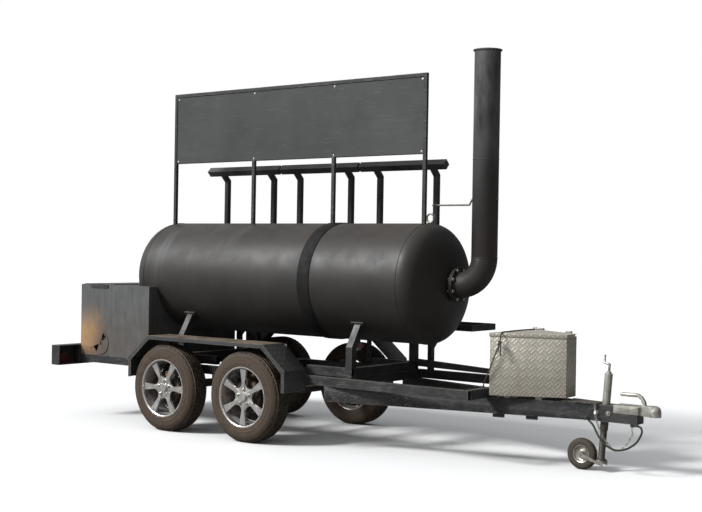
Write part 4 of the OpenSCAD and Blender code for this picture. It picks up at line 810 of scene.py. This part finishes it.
class SMOKER_OT_jockey(bpy.types.Operator):
    """Build the jockey wheel, its fork and mast"""

    bl_idname = "smoker.jockey"
    bl_label = "Jockey wheel"

    def execute(self, context):
        low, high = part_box("jack_wheel")
        centre = (low + high) / 2
        bm = bmesh.new()
        tread = [(0.0525, -0.0190), (0.0560, -0.0225), (0.0700, -0.0240), (0.0830, -0.0225), (0.0905, -0.0180), (0.0940, -0.0110), (0.0950, -0.0050), (0.0935, -0.0040), (0.0935, 0.0040),
                 (0.0950, 0.0050), (0.0940, 0.0110), (0.0905, 0.0180), (0.0830, 0.0225), (0.0700, 0.0240), (0.0560, 0.0225), (0.0525, 0.0190), (0.0500, 0.0160), (0.0500, -0.0160)]
        spun(bm, tread, centre, "Y", 72)
        outward(bm)
        unwrap_round(bm, centre, centre.y)
        finish_piece(bm, "jockey_tyre", BODY["jack_wheel"], "small_wheel_rubber", "jack_wheel")
        bm = bmesh.new()
        half = [(0.0082, 0.029), (0.0170, 0.029), (0.0185, 0.0275), (0.0190, 0.0110), (0.0250, 0.0070), (0.0360, 0.0080), (0.0430, 0.0125), (0.0470, 0.0190), (0.0530, 0.0212), (0.0545, 0.0200), (0.0520, 0.0165), (0.0490, 0.0100)]
        disc = [(r, -a) for r, a in half] + half[::-1]
        spun(bm, disc, centre, "Y", 64)
        outward(bm)
        finish_piece(bm, "jockey_rim", BODY["jack_wheel"], "galvanised")
        for node, look in (("jack_tube", "jockey_zinc"), ("jack_inner", "jockey_zinc"), ("jack_fork", "galvanised"), ("jack_crank", "galvanised")):
            dress(node, look, 0.001)
        return {"FINISHED"}


# ---------------------------------------------------------------- body pieces
def weld_ring(bm, centre, radius, bead, axis, ripples=0):
    """A weld bead round a pipe."""
    ring = [(radius + bead * math.cos(a), bead * 0.8 * math.sin(a)) for a in (k * math.pi / 4 for k in range(8))]
    spun(bm, ring, centre, axis, 120)


class SMOKER_OT_chamber(bpy.types.Operator):
    """Dress the cooking chamber, its band, welds and fittings"""

    bl_idname = "smoker.chamber"
    bl_label = "Cooking chamber"

    def execute(self, context):
        bead = context.scene.smoker_detail.weld
        dress("tank_shell", rounding=0)
        dress("tank_band", "band_black", 0.002)
        bm = bmesh.new()
        for x in (-883, 1417):
            weld_ring(bm, place(x, 0, 1086), 0.3993, bead, "X")
        low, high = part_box("tank_band")
        for x in (low.x, high.x):
            weld_ring(bm, Vector((x, place(0, 0, 0).y, 1.086)), 0.4008, bead * 0.8, "X")
        outward(bm)
        finish_piece(bm, "chamber_welds", "trailer", "sooty_black")
        for node in ("cooking_grates", "baffle_plate"):
            dress(node, "seasoned", 0)
        dress("lifting_eye", "mast_zinc", 0)
        dress("drain_pipe", "mast_zinc", 0.0008)
        dress("drain_lever", rounding=0.0008)
        return {"FINISHED"}


class SMOKER_OT_doors(bpy.types.Operator):
    """Dress the three cooking doors with their arms and counterweights"""

    bl_idname = "smoker.doors"
    bl_label = "Doors and counterweights"

    def execute(self, context):
        for which in ("rear", "middle", "front"):
            dress("door_" + which, rounding=0.001)
            dress("weight_" + which, rounding=0.0025, low=25.0)
        dress("door_hinges", rounding=0.001)
        return {"FINISHED"}


class SMOKER_OT_flue(bpy.types.Operator):
    """Dress the flue, its flanges, bolts and damper"""

    bl_idname = "smoker.flue"
    bl_label = "Flue"

    def execute(self, context):
        bead = context.scene.smoker_detail.weld
        dress("flue_pipe", rounding=0.0008)
        dress("flue_flange", rounding=0.0008)
        dress("flange_bolts", "mast_zinc", 0.0008)
        dress("flue_damper", rounding=0)
        bm = bmesh.new()
        low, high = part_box("flue_flange")
        centre = Vector((high.x - 0.093, place(0, 0, 0).y, 1.264))
        weld_ring(bm, centre, 0.0845, bead, "Z")
        weld_ring(bm, centre + Vector((0, 0, 0.63)), 0.0842, bead * 0.7, "Z")
        outward(bm)
        finish_piece(bm, "flue_welds", "trailer", "sooty_black")
        return {"FINISHED"}


class SMOKER_OT_firebox(bpy.types.Operator):
    """Dress the firebox, its hatch, ash drawer, grate and draft disc"""

    bl_idname = "smoker.firebox"
    bl_label = "Firebox"

    def execute(self, context):
        dress("firebox", rounding=0.0025)
        dress("firebox_lid", "scorched_black", 0.001)
        dress("ash_drawer", rounding=0.001)
        dress("draft_disc", rounding=0.0008)
        dress("fire_grate", "seasoned", 0.001)
        return {"FINISHED"}


class SMOKER_OT_chassis(bpy.types.Operator):
    """Dress the rails, drawbar, axles, springs, mudguards and lamps"""

    bl_idname = "smoker.chassis"
    bl_label = "Chassis"

    def execute(self, context):
        for node in ("chassis_rails", "drawbar", "rear_bumper"):
            dress(node, rounding=0.004)
        dress("tank_cradle", rounding=0.0025)
        for node in ("axle_beams", "leaf_springs", "spring_hangers"):
            dress(node, "axle_steel", 0.001)
        dress("u_bolts", "mast_zinc", 0)
        dress("fenders", rounding=0.001, plates=True)
        dress("tail_lamps", rounding=0.003)
        return {"FINISHED"}


class SMOKER_OT_sign(bpy.types.Operator):
    """Dress the sign board and its frame"""

    bl_idname = "smoker.sign"
    bl_label = "Sign board"

    def execute(self, context):
        dress("sign_frame", rounding=0.002)
        dress("sign_panel", rounding=0.0006)
        dress("sign_screws", "bright_zinc", 0.002)
        return {"FINISHED"}


class SMOKER_OT_shelf(bpy.types.Operator):
    """Dress the serving shelf"""

    bl_idname = "smoker.shelf"
    bl_label = "Shelf"

    def execute(self, context):
        dress("shelf_frame")
        dress("shelf_slats", rounding=0.002)
        return {"FINISHED"}


class SMOKER_OT_tool_box(bpy.types.Operator):
    """Dress the tread plate tool box, its lid and hinges"""

    bl_idname = "smoker.tool_box"
    bl_label = "Tool box"

    def execute(self, context):
        dress("tool_box", rounding=0.002, plates=True)
        dress("box_lid", rounding=0.0015, plates=True)
        dress("box_hinges", "bright_zinc", 0.001)
        return {"FINISHED"}


class SMOKER_OT_coupling(bpy.types.Operator):
    """Dress the ball coupling, its grip and the nose bolts"""

    bl_idname = "smoker.coupling"
    bl_label = "Coupling"

    def execute(self, context):
        dress("coupling_body", "bright_zinc", 0.0025, low=35.0, segments=3)
        dress("coupling_handle", "bright_zinc", 0.003, low=35.0, segments=3)
        dress("clamp_bolts", "galvanised", 0.001)
        return {"FINISHED"}


# ---------------------------------------------------------------- cords
CABLE = ((2600, -60, 318), (2612, -60, 307.2), (2640, -60, 282), (2690, -76, 215), (2745, -78, 168), (2800, -76, 152), (2860, -72, 166), (2915, -64, 205), (2944, -52, 262), (2935, -40, 292), (2924.5, -40, 297), (2914, -40, 302))
CHAIN = ((2652, -62, 404), (2652, -62, 394), (2652, -62, 380), (2664, -76, 330), (2694, -62, 240), (2735, -46, 175), (2780, -38, 140), (2835, -34, 176), (2875, -30, 244), (2875, -30, 267), (2875, -30, 290))
ROPE = ((2100, 189.9, 816), (2100, 170, 816), (2100, 150, 816), (2092, 60, 816), (2096, -60, 816), (2104, -160, 816), (2110, -222, 816.4), (2113, -250, 809.5), (2114, -262, 785), (2110, -267, 752),
        (2096, -272, 706), (2072, -280, 640), (2044, -287, 560), (2022, -290, 510), (2014, -288, 476))

TAILS = (((2114, -268, 758), (2122, -276, 742), (2126, -279, 716), (2123, -279, 690), (2125, -278, 672)),
         ((2108, -268, 748), (2114, -279, 738), (2113, -281, 718), (2108, -279, 700)))


def evenly(points, step, margin):
    """Points a step apart along a route, short of both its ends, and the direction at each."""
    gaps = max(1, round((route_length(points) - 2 * margin) / step))
    step = (route_length(points) - 2 * margin) / gaps - 1e-7
    out, want, run = [], margin, 0.0
    for a, b in zip(points, points[1:]):
        gap = (b - a).length
        while want <= run + gap and len(out) <= gaps:
            t = (want - run) / gap
            out.append((a.lerp(b, t), (b - a).normalized()))
            want += step
        run += gap
    return out


class SMOKER_OT_cords(bpy.types.Operator):
    """Build the brake cable, the safety chain and the tie rope"""

    bl_idname = "smoker.cords"
    bl_label = "Cable, chain and rope"

    def execute(self, context):
        wire = context.scene.smoker_detail.link_wire
        # brake cable
        route = curve_through([place(*p) for p in CABLE], 8)
        bm = bmesh.new()
        tube_along(bm, route, 0.0060, 14, uv=bm.loops.layers.uv.new("plate"))
        outward(bm)
        piece = finish_piece(bm, "brake_cable_sheath", "trailer", "cable_sheath", "brake_cable")
        # chain: each link a quarter turn on from the last
        route = curve_through([place(*p) for p in CHAIN], 8)
        bm = bmesh.new()
        long, wide = 0.0250, 0.0130
        spots = evenly(route, long - 2 * wire - 0.0004, long / 2 - wire / 2)
        side = Vector((0, 1, 0.2))
        for k, (spot, way) in enumerate(spots):
            side = (side - way * side.dot(way)).normalized()
            lie = side if k % 2 else way.cross(side)
            ring, straight = (wide - wire) / 2, (long - wide) / 2
            loop = []
            for n in range(12):
                a = 2 * math.pi * n / 12
                loop.append(spot + lie * ring * math.sin(a) + way * (ring * math.cos(a) + straight * (1 if math.cos(a) >= 0 else -1)))
            rings = []
            normal = way.cross(lie)
            for n in range(12):
                t = (loop[(n + 1) % 12] - loop[n - 1]).normalized()
                out = t.cross(normal)
                rings.append([bm.verts.new(loop[n] + (out * math.cos(2 * math.pi * j / 6) + normal * math.sin(2 * math.pi * j / 6)) * wire / 2) for j in range(6)])
            for n in range(12):
                for j in range(6):
                    bm.faces.new((rings[n][j], rings[n][(j + 1) % 6], rings[(n + 1) % 12][(j + 1) % 6], rings[(n + 1) % 12][j]))
        outward(bm)
        piece = finish_piece(bm, "chain_links", "trailer", "bright_zinc", "safety_chain", 80.0)
        # rope of three strands
        route = curve_through([place(*p) for p in ROPE], 24)
        bm = bmesh.new()
        layer = bm.loops.layers.uv.new("plate")
        turns = route_length(route) / 0.034
        for k in range(3):
            tube_along(bm, route, 0.0021, 8, 2 * math.pi * k / 3, turns, layer, offset=0.0021)
        outward(bm)
        rope = finish_piece(bm, "rope_strands", BODY["tie_rope"], "rope_fibre", "tie_rope", 60.0)
        bm = bmesh.new()
        layer = bm.loops.layers.uv.new("plate")
        # two half hitches, the loose tails below them and the stopper knot at the lower end
        for centre, lean in ((place(2111, -266, 757), 0.5), (place(2109, -266, 745), -0.6)):
            ring = [centre + Matrix.Rotation(lean, 3, "Y") @ Vector((0.0095 * math.cos(a), 0.0090 * math.sin(a), 0.0)) for a in (2 * math.pi * k / 20 for k in range(21))]
            tube_along(bm, ring, 0.0042, 8, uv=layer, closed_ends=False)
        for tail in TAILS:
            tube_along(bm, curve_through([place(*p) for p in tail], 8), 0.0040, 8, uv=layer)
        bmesh.ops.remove_doubles(bm, verts=bm.verts, dist=1e-5)
        outward(bm)
        bmesh.ops.create_uvsphere(bm, u_segments=20, v_segments=12, radius=0.0078, matrix=Matrix.Translation(route[-1] + Vector((0, 0, 0.004))))
        knot = finish_piece(bm, "rope_knot", BODY["tie_rope"], "rope_fibre")
        return {"FINISHED"}


# ---------------------------------------------------------------- stage
class SMOKER_OT_stage(bpy.types.Operator):
    """Set the camera, lights and floor"""

    bl_idname = "smoker.stage"
    bl_label = "Studio"

    def execute(self, context):
        s, scene = context.scene.smoker_stage, context.scene
        lens = bpy.data.cameras.new("camera")
        lens.lens, lens.sensor_width = s.lens * 1000, 36.0
        lens.clip_start, lens.clip_end = 0.1, 200
        camera = bpy.data.objects.new("camera", lens)
        right, up, ahead = Vector((0.79621, 0.60479, 0.01689)), Vector((-0.01634, -0.00640, 0.99985)), Vector((-0.60480, 0.79636, -0.00479))
        turn = Matrix((right, up, -ahead)).transposed()
        camera.matrix_world = Matrix.Translation(Vector((5.1239, -6.7267, 1.3004))) @ turn.to_4x4()
        scene.collection.objects.link(camera)
        scene.camera = camera
        bm = bmesh.new()
        bmesh.ops.create_circle(bm, cap_ends=True, segments=96, radius=45)
        mesh = bpy.data.meshes.new("studio_floor")
        bm.to_mesh(mesh)
        bm.free()
        floor = bpy.data.objects.new("studio_floor", mesh)
        look = Finish("studio floor")
        seen = look.put("ShaderNodeLightPath").outputs["Is Camera Ray"]
        look.set(Base_Color=look.mix(seen, rgba(s.floor, 0.27), rgba(s.floor)), Roughness=0.9, Specular_IOR_Level=0.1)
        mesh.materials.append(look.material)
        scene.collection.objects.link(floor)
        sun = bpy.data.lights.new("key", "SUN")
        sun.energy, sun.angle = s.key, math.radians(14)
        key = bpy.data.objects.new("key", sun)
        key.rotation_euler = Vector((0.46, 0.66, -0.60)).to_track_quat("-Z", "Y").to_euler()
        scene.collection.objects.link(key)
        world = bpy.data.worlds.new("studio")
        world.use_nodes = True
        tree = Graph(world.node_tree)
        world.node_tree.nodes.clear()
        way = tree.put("ShaderNodeTexCoord").outputs["Generated"]
        side = tree.put("ShaderNodeVectorMath", {0: way, 1: (-0.50, -0.42, 0.76)}, operation="DOT_PRODUCT").outputs["Value"]
        strength = tree.math("MULTIPLY", tree.range(side, -0.35, 1.0, 0.05, 1.75, False), s.fill)
        seen = tree.put("ShaderNodeBackground", {"Color": (1, 1, 1, 1), "Strength": 1.0}).outputs[0]
        lit = tree.put("ShaderNodeBackground", {"Color": (0.96, 0.98, 1.0, 1), "Strength": strength}).outputs[0]
        both = tree.put("ShaderNodeMixShader", {0: tree.put("ShaderNodeLightPath").outputs["Is Camera Ray"], 1: lit, 2: seen}).outputs[0]
        tree.put("ShaderNodeOutputWorld", {0: both})
        scene.world = world
        scene.view_settings.view_transform = "Standard"
        return {"FINISHED"}


class SMOKER_OT_materials(bpy.types.Operator):
    """Build every finish"""

    bl_idname = "smoker.materials"
    bl_label = "Finishes"

    def execute(self, context):
        build_materials()
        return {"FINISHED"}


OPERATORS = (SMOKER_OT_materials, SMOKER_OT_stage, SMOKER_OT_cords, SMOKER_OT_wheels, SMOKER_OT_jockey, SMOKER_OT_chamber, SMOKER_OT_doors, SMOKER_OT_flue,
             SMOKER_OT_firebox, SMOKER_OT_chassis, SMOKER_OT_sign, SMOKER_OT_shelf, SMOKER_OT_tool_box, SMOKER_OT_coupling)


class SMOKER_PT_panel(bpy.types.Panel):
    bl_idname = "SMOKER_PT_panel"
    bl_label = "Offset smoker"
    bl_space_type = "VIEW_3D"
    bl_region_type = "UI"
    bl_category = "Smoker"

    def draw(self, context):
        for operator in OPERATORS:
            self.layout.operator(operator.bl_idname)
        for settings in (context.scene.smoker_paint, context.scene.smoker_wheels, context.scene.smoker_detail, context.scene.smoker_stage):
            box = self.layout.box()
            for key in settings.__annotations__:
                box.prop(settings, key)


CLASSES = (SmokerPaint, SmokerWheels, SmokerDetail, SmokerStage, *OPERATORS, SMOKER_PT_panel)


def register():
    for c in CLASSES:
        bpy.utils.register_class(c)
    bpy.types.Scene.smoker_paint = PointerProperty(type=SmokerPaint)
    bpy.types.Scene.smoker_wheels = PointerProperty(type=SmokerWheels)
    bpy.types.Scene.smoker_detail = PointerProperty(type=SmokerDetail)
    bpy.types.Scene.smoker_stage = PointerProperty(type=SmokerStage)


def unregister():
    for name in ("smoker_paint", "smoker_wheels", "smoker_detail", "smoker_stage"):
        delattr(bpy.types.Scene, name)
    for c in reversed(CLASSES):
        bpy.utils.unregister_class(c)


def main():
    register()
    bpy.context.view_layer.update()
    for operator in OPERATORS:
        family, name = operator.bl_idname.split(".")
        getattr(getattr(bpy.ops, family), name)()
    bpy.context.view_layer.update()


if __name__ == "__main__":
    main()
